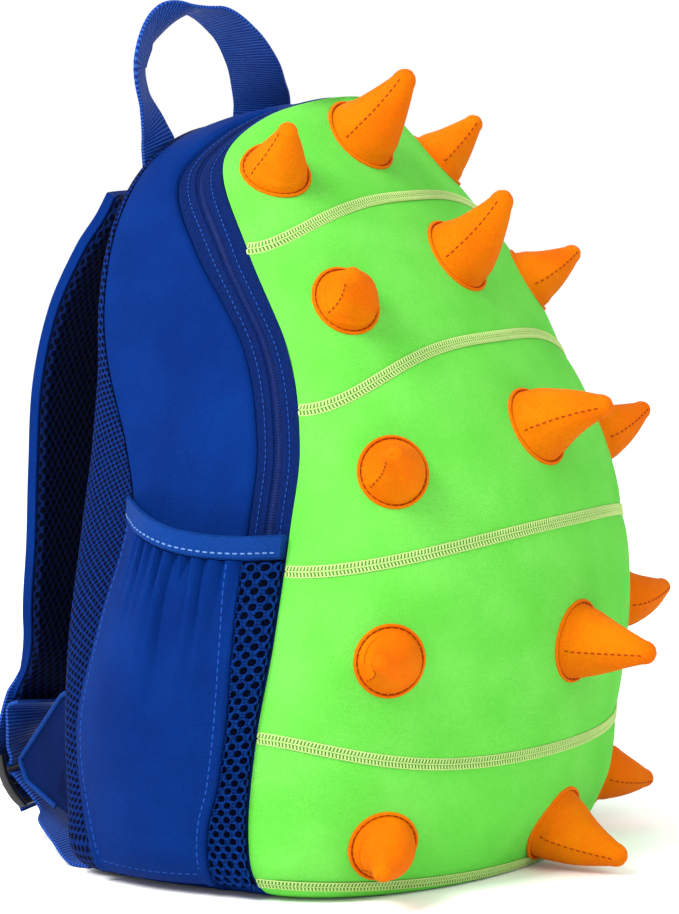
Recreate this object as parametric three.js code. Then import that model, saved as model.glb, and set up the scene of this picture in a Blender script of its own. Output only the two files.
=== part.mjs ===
// A child's backpack with a rounded green front, rows of orange stuffed spikes and a blue body.
// Millimetres, +Z up. The green front faces -Y, the back panel faces +Y, and the middle of the
// base is the origin. The left side is -X.

import * as THREE from "three";

// Driving sizes

const BAG_HEIGHT = 320;
const HALF_WIDTH = 121;
const FRONT_DEPTH = 96;        // from the origin forward to the roundest part of the green front
const BACK_Y = 82;             // the flat face that lies on the wearer's back
const CORNER_RADIUS = 18;      // where the sides turn under the base
const ARCH_START = 0.72;       // share of the height where the top arch begins
const ARCH_POWER = 2.24;
const DOME_POWER = 1.95;       // roundness of the green front across the bag
const BACK_DROP = 12;          // the top of the back is this much lower than the front
const CROWN = 5;               // the front is flat on top over this height

const GAP = 0.3;               // clearance between neighbouring pieces
const EDGE_GAP = 0.5;          // clearance along the curved green edge
const SHELL_WALL = 4;
const NEOPRENE_WALL = 3;
const TAPE_WALL = 1.6;
const PAD_THICKNESS = 13;
const BASE_THICKNESS = 5;

const ZIP_BAND = 21;           // both tapes and the coil between them
const COIL_WIDTH = 3.4;
const COIL_THICKNESS = 2.4;
const COIL_SHARE = 0.52;       // the coil's place across the band, from the green edge
const SLIDER_LENGTH = 9;
const SLIDER_WIDTH = 7;
const SLIDER_HEIGHT = 4;

const WEBBING = 25;
const WEBBING_WALL = 1.5;

const SIDE_SPIKE_RADIUS = 15;
const MIDDLE_SPIKE_RADIUS = 17.5;
const SIDE_SPIKE_LENGTH = 28;
const MIDDLE_SPIKE_LENGTH = 37;
const FLANGE_WIDTH = 2.2;
const FLANGE_THICKNESS = 1.6;

const POCKET_HEIGHT = 150;     // top of the binding
const POCKET_BULGE = 19;
const POCKET_WALL = 2.4;
const POCKET_FOOT = 7;         // height of the pocket's bottom seam
const BINDING_HEIGHT = 10;
const BINDING_WALL = 4;

const STRAP_WIDTH = 54;
const STRAP_THICKNESS = 9;
const STRAP_LINING = 3;        // the mesh on the inner face is this thick
const STRAP_CENTRE_X = 53;
const STRAP_STAND_OFF = 46;    // from the back panel out to the strap's outer face
const STRAP_TOP = 281;
const STRAP_FOOT = 62;

const LOCK_WIDTH = 33;
const LOCK_LENGTH = 24;
const LOCK_THICKNESS = 3;
const LOCK_BAR = 3.2;

const LOCK_X = 66;
const LOCK_OUT = 57;           // from the back panel out to the lock's centre
const LOCK_UP = 28;
const LOCK_TURN = 10;          // degrees, its outer side turned towards the bag
const LOCK_TILT = 28;          // degrees, its lower end leaning towards the bag

const TAB_X = 90;              // where the wing and the adjusting webbing leave the back
const TAB_TOP = 70;
const TAB_FOOT = 14;
const TAB_TIP = 36;
const TAB_REACH = 36;
const TAB_WALL = 4;

const HANDLE_HALF_SPAN = 42;
const HANDLE_RISE = 64;        // from its sewn ends to the top of the loop
const HANDLE_LEAN = 12;        // how far the loop comes forward of its sewn ends
const HANDLE_FOOT_DROP = 16;   // its ends lie this far below the top of the back

// Short tables

// width and front depth up the bag, as shares of HALF_WIDTH and FRONT_DEPTH
const OUTLINE = [
  { up: 0.00, wide: 0.985 },
  { up: 0.10, wide: 0.99 },
  { up: 0.22, wide: 1.00 },
  { up: 0.34, wide: 0.975 },
  { up: 0.46, wide: 0.905 },
  { up: 0.58, wide: 0.835 },
  { up: 0.70, wide: 0.785 },
  { up: 1.00, wide: 0.785 },
];
const FRONT = [
  { up: 0.00, forward: 0.75 },
  { up: 0.05, forward: 0.83 },
  { up: 0.10, forward: 0.91 },
  { up: 0.22, forward: 0.96 },
  { up: 0.34, forward: 1.00 },
  { up: 0.46, forward: 0.98 },
  { up: 0.58, forward: 0.82 },
  { up: 0.70, forward: 0.56 },
  { up: 0.82, forward: 0.29 },
  { up: 0.92, forward: 0.02 },
  { up: 1.00, forward: -0.18 },
];
// lines round the side and over the top, from the base (0) to the top centre (1):
// the green edge and the back seam as shares of BACK_Y, the zip as a share of ZIP_BAND
const RIM = [
  { along: 0.00, green: -0.17, band: 0.95, seam: 0.74 },
  { along: 0.10, green: -0.12, band: 0.90, seam: 0.84 },
  { along: 0.20, green: -0.18, band: 0.90, seam: 0.87 },
  { along: 0.30, green: -0.26, band: 0.92, seam: 0.77 },
  { along: 0.42, green: -0.28, band: 0.95, seam: 0.66 },
  { along: 0.50, green: -0.28, band: 0.98, seam: 0.75 },
  { along: 0.60, green: -0.16, band: 1.05, seam: 0.92 },
  { along: 0.70, green: 0.11, band: 1.20, seam: 0.95 },
  { along: 0.80, green: 0.40, band: 1.05, seam: 0.95 },
  { along: 0.88, green: 0.36, band: 1.00, seam: 0.94 },
  { along: 0.95, green: 0.23, band: 1.10, seam: 0.93 },
  { along: 1.00, green: 0.21, band: 1.12, seam: 0.93 },
];
// the seams of the green front, from the top down, as shares of BAG_HEIGHT: the height at the
// green edge, the rise to the middle, and how soon that rise flattens
const SEAMS = [
  { edge: 0.814, rise: 0.058, power: 2.75 },
  { edge: 0.617, rise: 0.076, power: 2.95 },
  { edge: 0.420, rise: 0.044, power: 2.25 },
  { edge: 0.212, rise: -0.044, power: 4.20 },
  { edge: 0.025, rise: -0.016, power: 2.00 },
];
// five rows of spikes, from the top down. up: share of BAG_HEIGHT; out: share of the half width
// there; yaw and pitch: where the tip points, in degrees from straight ahead and from level.
// The middle ones are sewn a little off the centre line, by middleOut of the half width
const SPIKES = [
  { up: 0.908, out: 0.85, yaw: 42, pitch: 44, middleUp: 0.948, middlePitch: 49, middleOut: -0.16 },
  { up: 0.749, out: 0.79, yaw: 54, pitch: 28, middleUp: 0.793, middlePitch: 49, middleOut: 0.03 },
  { up: 0.542, out: 0.83, yaw: 60, pitch: 23, middleUp: 0.581, middlePitch: 17, middleOut: -0.08 },
  { up: 0.312, out: 0.82, yaw: 70, pitch: 8, middleUp: 0.306, middlePitch: -4, middleOut: -0.03 },
  { up: 0.074, out: 0.77, yaw: 62, pitch: -13, middleUp: 0.060, middlePitch: -18, middleOut: 0.02 },
];
// a spike's width along its length, as shares of its foot radius
const SPIKE_PROFILE = [
  { along: 0.22, wide: 0.90 },
  { along: 0.46, wide: 0.70 },
  { along: 0.70, wide: 0.48 },
  { along: 0.88, wide: 0.30 },
  { along: 0.97, wide: 0.15 },
];
// the side pocket's front edge up its height; y as a share of BACK_Y
const POCKET_FRONT = [
  { up: 0.00, y: 0.085 },
  { up: 0.17, y: 0.05 },
  { up: 0.30, y: -0.02 },
  { up: 0.50, y: -0.085 },
  { up: 0.70, y: -0.12 },
  { up: 1.00, y: -0.13 },
];
// how far the pocket stands out, across from its rear edge and up, as shares of POCKET_BULGE
const POCKET_SWELL = [
  { at: 0.0, across: 0.00, up: 0.00 },
  { at: 0.1, across: 0.42, up: 0.30 },
  { at: 0.3, across: 0.86, up: 0.56 },
  { at: 0.5, across: 1.00, up: 0.74 },
  { at: 0.7, across: 0.86, up: 0.90 },
  { at: 0.9, across: 0.42, up: 1.00 },
  { at: 1.0, across: 0.00, up: 1.00 },
];
// a shoulder strap from its top seam to its lower end: out is a share of STRAP_STAND_OFF,
// up a share of the height between its two ends, wide and inward shares of STRAP_WIDTH
const STRAP = [
  { up: 1.00, out: 0.23, wide: 0.90, inward: 0.11 },
  { up: 0.96, out: 0.32, wide: 0.95, inward: 0.10 },
  { up: 0.90, out: 0.50, wide: 1.00, inward: 0.07 },
  { up: 0.78, out: 0.78, wide: 1.00, inward: 0.03 },
  { up: 0.63, out: 0.95, wide: 1.00, inward: 0.00 },
  { up: 0.46, out: 1.01, wide: 1.00, inward: 0.00 },
  { up: 0.32, out: 1.03, wide: 0.98, inward: -0.02 },
  { up: 0.18, out: 1.06, wide: 0.90, inward: -0.08 },
  { up: 0.06, out: 1.08, wide: 0.72, inward: -0.19 },
  { up: 0.00, out: 1.09, wide: 0.62, inward: -0.25 },
];
// the handle's band from its left end to its right end: across, up and lean are shares of
// HANDLE_HALF_SPAN, HANDLE_RISE and HANDLE_LEAN; twist turns the band about its own line, in
// degrees from lying along Y
const HANDLE = [
  { across: -1.05, up: 0.00, lean: 0.00, twist: 90 },
  { across: -1.08, up: 0.12, lean: -0.02, twist: 92 },
  { across: -1.12, up: 0.22, lean: -0.12, twist: 102 },
  { across: -1.24, up: 0.41, lean: -0.20, twist: 117 },
  { across: -1.35, up: 0.66, lean: -0.10, twist: 115 },
  { across: -1.10, up: 0.88, lean: -0.15, twist: 119 },
  { across: -0.78, up: 0.95, lean: 0.00, twist: 146 },
  { across: -0.43, up: 1.00, lean: 0.42, twist: 178 },
  { across: -0.10, up: 0.86, lean: 0.90, twist: 181 },
  { across: 0.19, up: 0.67, lean: 1.00, twist: 174 },
  { across: 0.45, up: 0.52, lean: 0.70, twist: 171 },
  { across: 0.74, up: 0.37, lean: 0.20, twist: 155 },
  { across: 0.88, up: 0.22, lean: -0.20, twist: 122 },
  { across: 0.95, up: 0.11, lean: -0.12, twist: 98 },
  { across: 1.00, up: 0.00, lean: 0.00, twist: 90 },
];

// Plain helpers

const v3 = (x, y, z) => new THREE.Vector3(x, y, z);
const range = (count) => Array.from({ length: count }, (_, i) => i);
const radians = (degrees) => (degrees * Math.PI) / 180;

// a smooth curve through a table's rows, from one column to another
function curve(table, from, to) {
  const xs = table.map((row) => row[from]);
  const ys = table.map((row) => row[to]);
  const last = xs.length - 1;
  const slope = (i) => {
    const a = Math.max(0, i - 1);
    const b = Math.min(last, i + 1);
    return (ys[b] - ys[a]) / (xs[b] - xs[a]);
  };
  return (value) => {
    const rising = xs[last] > xs[0] ? 1 : -1;
    const low = rising > 0 ? xs[0] : xs[last];
    const high = rising > 0 ? xs[last] : xs[0];
    const x = Math.min(Math.max(value, low), high);
    let i = 0;
    while (i < last - 1 && (x - xs[i + 1]) * rising > 0) i += 1;
    const h = xs[i + 1] - xs[i];
    const t = (x - xs[i]) / h;
    return (2 * t ** 3 - 3 * t ** 2 + 1) * ys[i] + (t ** 3 - 2 * t ** 2 + t) * h * slope(i)
      + (3 * t ** 2 - 2 * t ** 3) * ys[i + 1] + (t ** 3 - t ** 2) * h * slope(i + 1);
  };
}

const clamp = (value, low, high) => Math.min(Math.max(value, low), high);
const mix = (a, b, t) => a + (b - a) * t;
const along = (point, direction, distance) => point.clone().addScaledVector(direction, distance);

// Materials

const material = (name, color, roughness, metalness = 0) =>
  new THREE.MeshStandardMaterial({ name, color, roughness, metalness });

const GREEN_NEOPRENE = material("green_neoprene", 0x6ee858, 0.75);
const BLUE_NEOPRENE = material("blue_neoprene", 0x083d9c, 0.8);
const ORANGE_NEOPRENE = material("orange_neoprene", 0xff8a05, 0.7);
const NAVY_MESH = material("navy_mesh", 0x14246e, 0.9);
const BLUE_BINDING = material("blue_binding", 0x0a4bb0, 0.7);
const BLUE_WEBBING = material("blue_webbing", 0x123a94, 0.7);
const ZIP_TAPE = material("zip_tape", 0x1a3f9e, 0.75);
const ZIP_COIL = material("zip_coil", 0x122a70, 0.45);
const ZIP_METAL = material("zip_metal", 0x2a4f9e, 0.4, 0.6);
const BLACK_PLASTIC = material("black_plastic", 0x0c0c0e, 0.45);

// Making solids

const bag = new THREE.Group();

// one closed solid from flat faces, each a list of 3 or 4 corners in order; corners that meet
// are welded, faces that shrink to nothing are dropped, and the outside faces out
function solid(name, faces, finish) {
  const corners = [];
  const numbers = new Map();
  const numberOf = (p) => {
    const key = [p.x, p.y, p.z].map((value) => Math.round(value * 1e4)).join();
    if (!numbers.has(key)) {
      numbers.set(key, corners.length);
      corners.push(p);
    }
    return numbers.get(key);
  };
  const triangles = [];
  const add = (a, b, c) => {
    if (a !== b && b !== c && c !== a) triangles.push([a, b, c]);
  };
  for (const face of faces) {
    const [a, b, c, d] = face.map(numberOf);
    if (d === undefined) {
      add(a, b, c);
    } else if (corners[a].distanceTo(corners[c]) <= corners[b].distanceTo(corners[d])) {
      add(a, b, c);
      add(a, c, d);
    } else {
      add(a, b, d);
      add(b, c, d);
    }
  }
  const volume = triangles.reduce((sum, [a, b, c]) =>
    sum + corners[a].dot(corners[b].clone().cross(corners[c])), 0);
  const indices = triangles.flatMap(([a, b, c]) => (volume > 0 ? [a, b, c] : [a, c, b]));
  const geometry = new THREE.BufferGeometry();
  geometry.setAttribute("position",
    new THREE.Float32BufferAttribute(corners.flatMap((p) => [p.x, p.y, p.z]), 3));
  geometry.setIndex(indices);
  geometry.computeVertexNormals();
  const mesh = new THREE.Mesh(geometry, finish);
  mesh.name = name;
  bag.add(mesh);
}

// a wall: a grid of points on its outer face and the same grid on its inner face
function wall(name, outer, inner, finish) {
  const rows = outer.length - 1;
  const columns = outer[0].length - 1;
  const faces = [];
  for (let i = 0; i < rows; i += 1) {
    for (let j = 0; j < columns; j += 1) {
      faces.push([outer[i][j], outer[i][j + 1], outer[i + 1][j + 1], outer[i + 1][j]]);
      faces.push([inner[i][j], inner[i + 1][j], inner[i + 1][j + 1], inner[i][j + 1]]);
    }
  }
  for (let j = 0; j < columns; j += 1) {
    faces.push([outer[0][j + 1], outer[0][j], inner[0][j], inner[0][j + 1]]);
    faces.push([outer[rows][j], outer[rows][j + 1], inner[rows][j + 1], inner[rows][j]]);
  }
  for (let i = 0; i < rows; i += 1) {
    faces.push([outer[i][0], outer[i + 1][0], inner[i + 1][0], inner[i][0]]);
    faces.push([outer[i + 1][columns], outer[i][columns], inner[i][columns], inner[i + 1][columns]]);
  }
  solid(name, faces, finish);
}

// a solid through a row of like rings, closed by a fan at each end
function loft(name, rings, finish, closed = false) {
  const count = rings[0].length;
  const faces = [];
  const steps = closed ? rings.length : rings.length - 1;
  for (let i = 0; i < steps; i += 1) {
    const here = rings[i];
    const next = rings[(i + 1) % rings.length];
    for (let k = 0; k < count; k += 1) {
      const m = (k + 1) % count;
      faces.push([here[k], here[m], next[m], next[k]]);
    }
  }
  if (!closed) {
    for (let k = 1; k < count - 1; k += 1) {
      faces.push([rings[0][0], rings[0][k + 1], rings[0][k]]);
      const end = rings[rings.length - 1];
      faces.push([end[0], end[k], end[k + 1]]);
    }
  }
  solid(name, faces, finish);
}

// The bag's form

const wideAt = curve(OUTLINE, "up", "wide");
const forwardAt = curve(FRONT, "up", "forward");
const greenAlong = curve(RIM, "along", "green");
const bandAlong = curve(RIM, "along", "band");
const seamAlong = curve(RIM, "along", "seam");

function halfWidth(z) {
  const up = clamp(z / BAG_HEIGHT, 0, 1);
  const t = Math.max(0, (up - ARCH_START) / (1 - ARCH_START));
  const arch = Math.max(0, 1 - t ** ARCH_POWER) ** (1 / ARCH_POWER);
  const low = clamp(z, 0, CORNER_RADIUS);
  const corner = CORNER_RADIUS - Math.sqrt(CORNER_RADIUS ** 2 - (CORNER_RADIUS - low) ** 2);
  return HALF_WIDTH * wideAt(up) * arch - corner;
}

// the right half of the outline, measured along its length from the base to the top centre
const outlineSteps = range(2401).map((i) => {
  const z = (BAG_HEIGHT * (1 - Math.cos((Math.PI * i) / 2400))) / 2;
  return { x: halfWidth(z), z, length: 0 };
});
outlineSteps.forEach((step, i) => {
  if (i > 0) {
    const before = outlineSteps[i - 1];
    step.length = before.length + Math.hypot(step.x - before.x, step.z - before.z);
  }
});
const OUTLINE_LENGTH = outlineSteps[outlineSteps.length - 1].length;

// the outline at a share of its length, with its outward direction
function outlineAt(share) {
  const length = clamp(share, 0, 1) * OUTLINE_LENGTH;
  let i = outlineSteps.findIndex((step) => step.length >= length);
  i = clamp(i, 1, outlineSteps.length - 1);
  const a = outlineSteps[i - 1];
  const b = outlineSteps[i];
  const t = (length - a.length) / (b.length - a.length || 1);
  const run = b.length - a.length || 1;
  return { x: mix(a.x, b.x, t), z: mix(a.z, b.z, t), nx: (b.z - a.z) / run, nz: (a.x - b.x) / run };
}

function shareAt(z) {
  const i = clamp(outlineSteps.findIndex((step) => step.z >= z), 1, outlineSteps.length - 1);
  const a = outlineSteps[i - 1];
  const b = outlineSteps[i];
  return mix(a.length, b.length, clamp((z - a.z) / (b.z - a.z), 0, 1)) / OUTLINE_LENGTH;
}

const greenY = (share) => BACK_Y * greenAlong(share);
const zipY = (share) => greenY(share) + ZIP_BAND * bandAlong(share);
const coilY = (share) => mix(greenY(share), zipY(share), COIL_SHARE);
const seamY = (share) => BACK_Y * seamAlong(share);

// the back is lower than the front, so every height shrinks a little towards the back
function lowered(z, y) {
  const t = clamp((y - greenY(1)) / (seamY(1) - greenY(1)), 0, 1);
  return z * (1 - (BACK_DROP / BAG_HEIGHT) * t * t * (3 - 2 * t));
}

// a point over the side, at s from -1 (left end of the base) over the top (0) to 1 (right end)
function sidePoint(s, y, proud) {
  const edge = outlineAt(1 - Math.abs(s));
  const side = s < 0 ? -1 : 1;
  return v3(side * (edge.x + edge.nx * proud), y, lowered(edge.z, y) + edge.nz * proud);
}

// the stations along the outline that every piece round the side shares: some round the
// corner of the base, then even steps to the top
const CORNER_STATIONS = 5;
const SIDE_STATIONS = 24;
const LEAST_STEP = 0.006;      // stations nearer to an end than this share are left out
const cornerShare = (CORNER_RADIUS * Math.PI) / 2 / OUTLINE_LENGTH;
const halfStations = [
  ...range(CORNER_STATIONS).map((i) => (cornerShare * i) / CORNER_STATIONS),
  ...range(SIDE_STATIONS + 1).map((i) => mix(cornerShare, 1, i / SIDE_STATIONS)),
];
const stationsBetween = (low, high) =>
  [low, ...halfStations.filter((share) => share > low + LEAST_STEP && share < high - LEAST_STEP), high];
const roundTheBag = (low) => {
  const half = stationsBetween(low, 1);
  return [...half.map((share) => share - 1), ...half.slice(0, -1).reverse().map((share) => 1 - share)];
};

// The green front

const frontY = (z) => -FRONT_DEPTH * forwardAt(z / BAG_HEIGHT);

// the front's y at a share across the width (-1 to 1) and a height
function domeY(across, z) {
  const edge = greenY(shareAt(z));
  const round = Math.max(0, 1 - Math.abs(across) ** DOME_POWER) ** (1 / DOME_POWER);
  return mix(edge, Math.min(edge, frontY(z)), round);
}
const domePoint = (across, z) => v3(halfWidth(z) * across, domeY(across, z), z);

// how far out a point lies: 1 on the front's face, less inside it
function domeLevel(p, edgeZ = p.z) {
  const z = clamp(p.z, 0, BAG_HEIGHT - 0.01);
  const edge = greenY(shareAt(clamp(edgeZ, 0, BAG_HEIGHT - 0.01)));
  const depth = Math.max(1, edge - frontY(z));
  const ahead = Math.max(0, edge - p.y) / depth;
  return (Math.abs(p.x) / halfWidth(z)) ** DOME_POWER + ahead ** DOME_POWER;
}

// the direction out of the front's face, which is straight up over its flat crown
function domeNormal(p) {
  const crown = clamp((p.z - BAG_HEIGHT + 2 * CROWN) / CROWN, 0, 1);
  if (crown === 1) return v3(0, 0, 1);
  const d = 0.25;
  const slope = (axis) => {
    const high = p.clone();
    const low = p.clone();
    high[axis] += d;
    low[axis] -= d;
    return domeLevel(high, p.z) - domeLevel(low, p.z);
  };
  const base = p.z < d ? p.clone().setZ(d) : p;
  if (base !== p) return domeNormal(base);
  return v3(slope("x"), slope("y"), slope("z")).normalize().lerp(v3(0, 0, 1), crown).normalize();
}

const PANEL_COLUMNS = 20;
const PANEL_ROWS = 4;
const acrossSteps = range(PANEL_COLUMNS + 1).map((j) =>
  Math.sin((j / PANEL_COLUMNS - 0.5) * Math.PI));
const seamZ = (seam, across) =>
  BAG_HEIGHT * (seam.edge + seam.rise * (1 - Math.abs(across) ** seam.power));

function makeFront() {
  SEAMS.forEach((seam, n) => {
    const low = (across) => seamZ(seam, across) + GAP / 2;
    const high = (across) => (n === 0 ? BAG_HEIGHT : seamZ(SEAMS[n - 1], across) - GAP / 2);
    // the top panel shares the stations of the zip that runs round it
    const levels = n === 0
      ? stationsBetween(shareAt(low(1)), 1).map((share) => outlineAt(share).z)
      : range(PANEL_ROWS + 1).map((i) => mix(low(1), high(1), i / PANEL_ROWS));
    const outer = levels.map((level) => {
      const t = (level - low(1)) / (high(1) - low(1));
      return acrossSteps.map((across) => domePoint(across, mix(low(across), high(across), t)));
    });
    const inner = outer.map((row) => row.map((p) => along(p, domeNormal(p), -SHELL_WALL)));
    wall(`shell_panel_${n + 1}`, outer, inner, GREEN_NEOPRENE);
  });
  const last = SEAMS[SEAMS.length - 1];
  const back = greenY(0);
  const sections = acrossSteps.map((across) => {
    const foot = domePoint(across, 0);
    const top = domePoint(across, seamZ(last, across) - GAP / 2);
    return [foot, top, v3(top.x, Math.max(back, top.y), top.z), v3(foot.x, back, 0)];
  });
  loft("shell_underside", sections, GREEN_NEOPRENE);
}

// The spikes

const SPIKE_SIDES = 12;
const SPIKE_BEND = 0.45;       // share of its length over which a spike leaves the front squarely

// the point of the front's face in line with p along the given direction, GAP outside it
function ontoDome(p, direction) {
  let low = -30;
  let high = 30;
  for (let i = 0; i < 30; i += 1) {
    const t = (low + high) / 2;
    if (domeLevel(along(p, direction, t)) > 1) high = t;
    else low = t;
  }
  return along(p, direction, low + GAP);
}

function makeSpike(name, across, z, yaw, pitch, radius, length) {
  const foot = domePoint(across, z);
  const out = domeNormal(foot);
  const aim = v3(Math.sin(yaw) * Math.cos(pitch), -Math.cos(yaw) * Math.cos(pitch), Math.sin(pitch));
  const tip = along(foot, aim, length);
  const bend = along(foot, out, length * SPIKE_BEND);
  const spine = new THREE.QuadraticBezierCurve3(foot, bend, tip);
  const side = v3(0, 0, 1).cross(out).normalize();
  const ring = (centre, axis, r, seat) => {
    const u = side.clone().addScaledVector(axis, -side.dot(axis)).normalize();
    const w = axis.clone().cross(u);
    return range(SPIKE_SIDES).map((k) => {
      const angle = (2 * Math.PI * k) / SPIKE_SIDES;
      const p = centre.clone().addScaledVector(u, r * Math.cos(angle)).addScaledVector(w, r * Math.sin(angle));
      return seat === undefined ? p : along(ontoDome(p, out), out, seat);
    });
  };
  const neck = radius - FLANGE_WIDTH;
  const rings = [
    ring(foot, out, 0, 0),
    ring(foot, out, radius / 2, 0),
    ring(foot, out, radius, 0),
    ring(foot, out, radius, FLANGE_THICKNESS),
    ring(foot, out, neck, FLANGE_THICKNESS),
    ...SPIKE_PROFILE.map((row) =>
      ring(spine.getPoint(row.along), spine.getTangent(row.along), neck * row.wide)),
    ring(tip, spine.getTangent(1), 0),
  ];
  loft(name, rings, ORANGE_NEOPRENE);
}

function makeSpikes() {
  SPIKES.forEach((row, n) => {
    const z = row.up * BAG_HEIGHT;
    const yaw = radians(row.yaw);
    const pitch = radians(row.pitch);
    const put = (side, across) => makeSpike(`spike_${n + 1}_${side}`, across, z,
      Math.sign(across) * yaw, pitch, SIDE_SPIKE_RADIUS, SIDE_SPIKE_LENGTH);
    put("left", -row.out);
    put("right", row.out);
    makeSpike(`spike_${n + 1}_middle`, row.middleOut, row.middleUp * BAG_HEIGHT, 0,
      radians(row.middlePitch), MIDDLE_SPIKE_RADIUS, MIDDLE_SPIKE_LENGTH);
  });
}

// The blue body

const GUSSET_COLUMNS = 5;
const GUSSET_BULGE = 3;
const ZIP_END_SHARE = shareAt(POCKET_HEIGHT - BINDING_HEIGHT - 2);

// how far the blue side stands out beyond the plain outline, at a share along and a y
function gussetProud(share, y) {
  const t = clamp((seamY(share) - y) / (seamY(share) - zipY(share)), 0, 1);
  return GUSSET_BULGE * Math.sin(Math.PI * t) * clamp(share / cornerShare, 0, 1);
}

// a strip round the side between two lines, each a function of the share along
function strip(name, stations, fromY, toY, columns, proud, thickness, finish) {
  const grid = (depth) => stations.map((s) => {
    const share = 1 - Math.abs(s);
    return range(columns + 1).map((j) => {
      const y = mix(fromY(share), toY(share), j / columns);
      return sidePoint(s, y, proud(share, y) - depth);
    });
  });
  wall(name, grid(0), grid(thickness), finish);
}

function makeGusset() {
  const flat = () => 0;
  strip("gusset", roundTheBag(0), (q) => seamY(q), (q) => zipY(q) + GAP,
    GUSSET_COLUMNS, gussetProud, NEOPRENE_WALL, BLUE_NEOPRENE);
  const sides = { left: (share) => share - 1, right: (share) => 1 - share };
  Object.entries(sides).forEach(([side, stationOf]) => {
    const stations = stationsBetween(0, ZIP_END_SHARE - GAP / OUTLINE_LENGTH).map(stationOf);
    strip(`front_strip_${side}`, stations, (q) => zipY(q), (q) => greenY(q) + EDGE_GAP,
      1, flat, NEOPRENE_WALL, BLUE_NEOPRENE);
  });
}

const ZIP_STEP = 0.6;          // the tapes lie this far in, and the coil as far out

function makeZip() {
  const stations = roundTheBag(ZIP_END_SHARE);
  const low = () => -ZIP_STEP;
  const high = () => ZIP_STEP;
  strip("zip_tape_outer", stations, (q) => zipY(q), (q) => coilY(q) + COIL_WIDTH / 2,
    1, low, TAPE_WALL, ZIP_TAPE);
  strip("zip_tape_inner", stations, (q) => coilY(q) - COIL_WIDTH / 2, (q) => greenY(q) + EDGE_GAP,
    1, low, TAPE_WALL, ZIP_TAPE);
  strip("zip_coil", stations, (q) => coilY(q) + COIL_WIDTH / 2 - GAP,
    (q) => coilY(q) - COIL_WIDTH / 2 + GAP, 1, high, COIL_THICKNESS, ZIP_COIL);
  makeSlider();
}

const SLIDER_PARK = 0.1;       // share of the outline from the zip's end to the slider
const PULL_LENGTH = 1.8;       // these two as shares of SLIDER_LENGTH and SLIDER_HEIGHT
const PULL_THICKNESS = 0.3;

// the slider waits at the lower right end of the zip, its pull hanging down
function makeSlider() {
  const share = ZIP_END_SHARE + SLIDER_PARK;
  const seat = sidePoint(1 - share, coilY(share), ZIP_STEP + GAP);
  const end = sidePoint(1 - share - SLIDER_PARK / 2, coilY(share), ZIP_STEP + GAP);
  const up = end.clone().sub(seat).setY(0).normalize();
  const out = v3(up.z, 0, -up.x);
  const profile = [
    [0, 0], [0, SLIDER_LENGTH], [0.75, SLIDER_LENGTH], [1, 0.6 * SLIDER_LENGTH],
    [1, 0], [2 * PULL_THICKNESS, -PULL_LENGTH * SLIDER_LENGTH],
    [PULL_THICKNESS, -PULL_LENGTH * SLIDER_LENGTH], [PULL_THICKNESS, 0],
  ];
  const rings = [-0.5, 0.5].map((across) => profile.map(([height, rise]) =>
    seat.clone().addScaledVector(out, height * SLIDER_HEIGHT).addScaledVector(up, rise)
      .add(v3(0, across * SLIDER_WIDTH, 0))));
  solid("zip_slider", prismFaces(rings[0], rings[1]), ZIP_METAL);
}

// the faces of a prism between two like outlines, its ends cut into triangles
function prismFaces(near, far) {
  const flat = near.map((p) => new THREE.Vector2(p.x, p.z));
  const caps = THREE.ShapeUtils.triangulateShape(flat, []);
  const faces = near.map((_, k) => {
    const m = (k + 1) % near.length;
    return [near[k], near[m], far[m], far[k]];
  });
  const turn = THREE.ShapeUtils.isClockWise(flat) ? 1 : -1;
  caps.forEach(([a, b, c]) => {
    const flip = THREE.ShapeUtils.isClockWise([flat[a], flat[b], flat[c]]) ? 1 : -1;
    const [p, q, r] = turn * flip > 0 ? [a, c, b] : [a, b, c];
    faces.push([near[p], near[q], near[r]]);
    faces.push([far[p], far[r], far[q]]);
  });
  return faces;
}

const FLOOR_STEPS = 6;
const BACK_MIDDLE = 0.45;      // height of the back panel's hub, as a share of BAG_HEIGHT
const PANEL_CORNER = 6;        // the padded back rounds over this far in from its edge

// the padded back: a lip that meets the gusset, a step inside it, and a flat face behind
function makeBackPanel() {
  const round = roundTheBag(0).map((s) => ({ s, share: 1 - Math.abs(s) }));
  const floor = range(FLOOR_STEPS - 1).map((i) => ({ floor: (i + 1) / FLOOR_STEPS, share: 0 }));
  const path = [...round, ...floor];
  const outline = (y) => path.map((step) => (step.floor === undefined
    ? sidePoint(step.s, y(step.share), 0)
    : v3(mix(1, -1, step.floor) * halfWidth(0), y(0), 0)));
  const inset = (points, distance) => points.map((p, i) => {
    const before = points[(i + points.length - 1) % points.length];
    const after = points[(i + 1) % points.length];
    const run = v3(after.x - before.x, 0, after.z - before.z).normalize();
    return v3(p.x + run.z * distance, p.y, p.z - run.x * distance);
  });
  const at = (y, distance) => inset(outline(y), distance);
  const lip = (share) => seamY(share) + GAP;
  const rings = [
    at(() => BACK_Y - PAD_THICKNESS, 2.4 * NEOPRENE_WALL),
    at(lip, NEOPRENE_WALL + GAP),
    at(lip, 0),
    at((share) => Math.max(lip(share) + EDGE_GAP, BACK_Y - 0.6 * PANEL_CORNER), 0.05 * PANEL_CORNER),
    at(() => BACK_Y - PANEL_CORNER / 6, 0.4 * PANEL_CORNER),
    at(() => BACK_Y, PANEL_CORNER),
  ];
  const middle = BAG_HEIGHT * BACK_MIDDLE;
  const centre = (y) => rings[0].map(() => v3(0, y, middle));
  loft("back_panel", [centre(BACK_Y - PAD_THICKNESS), ...rings, centre(BACK_Y)], NAVY_MESH);
}

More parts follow.
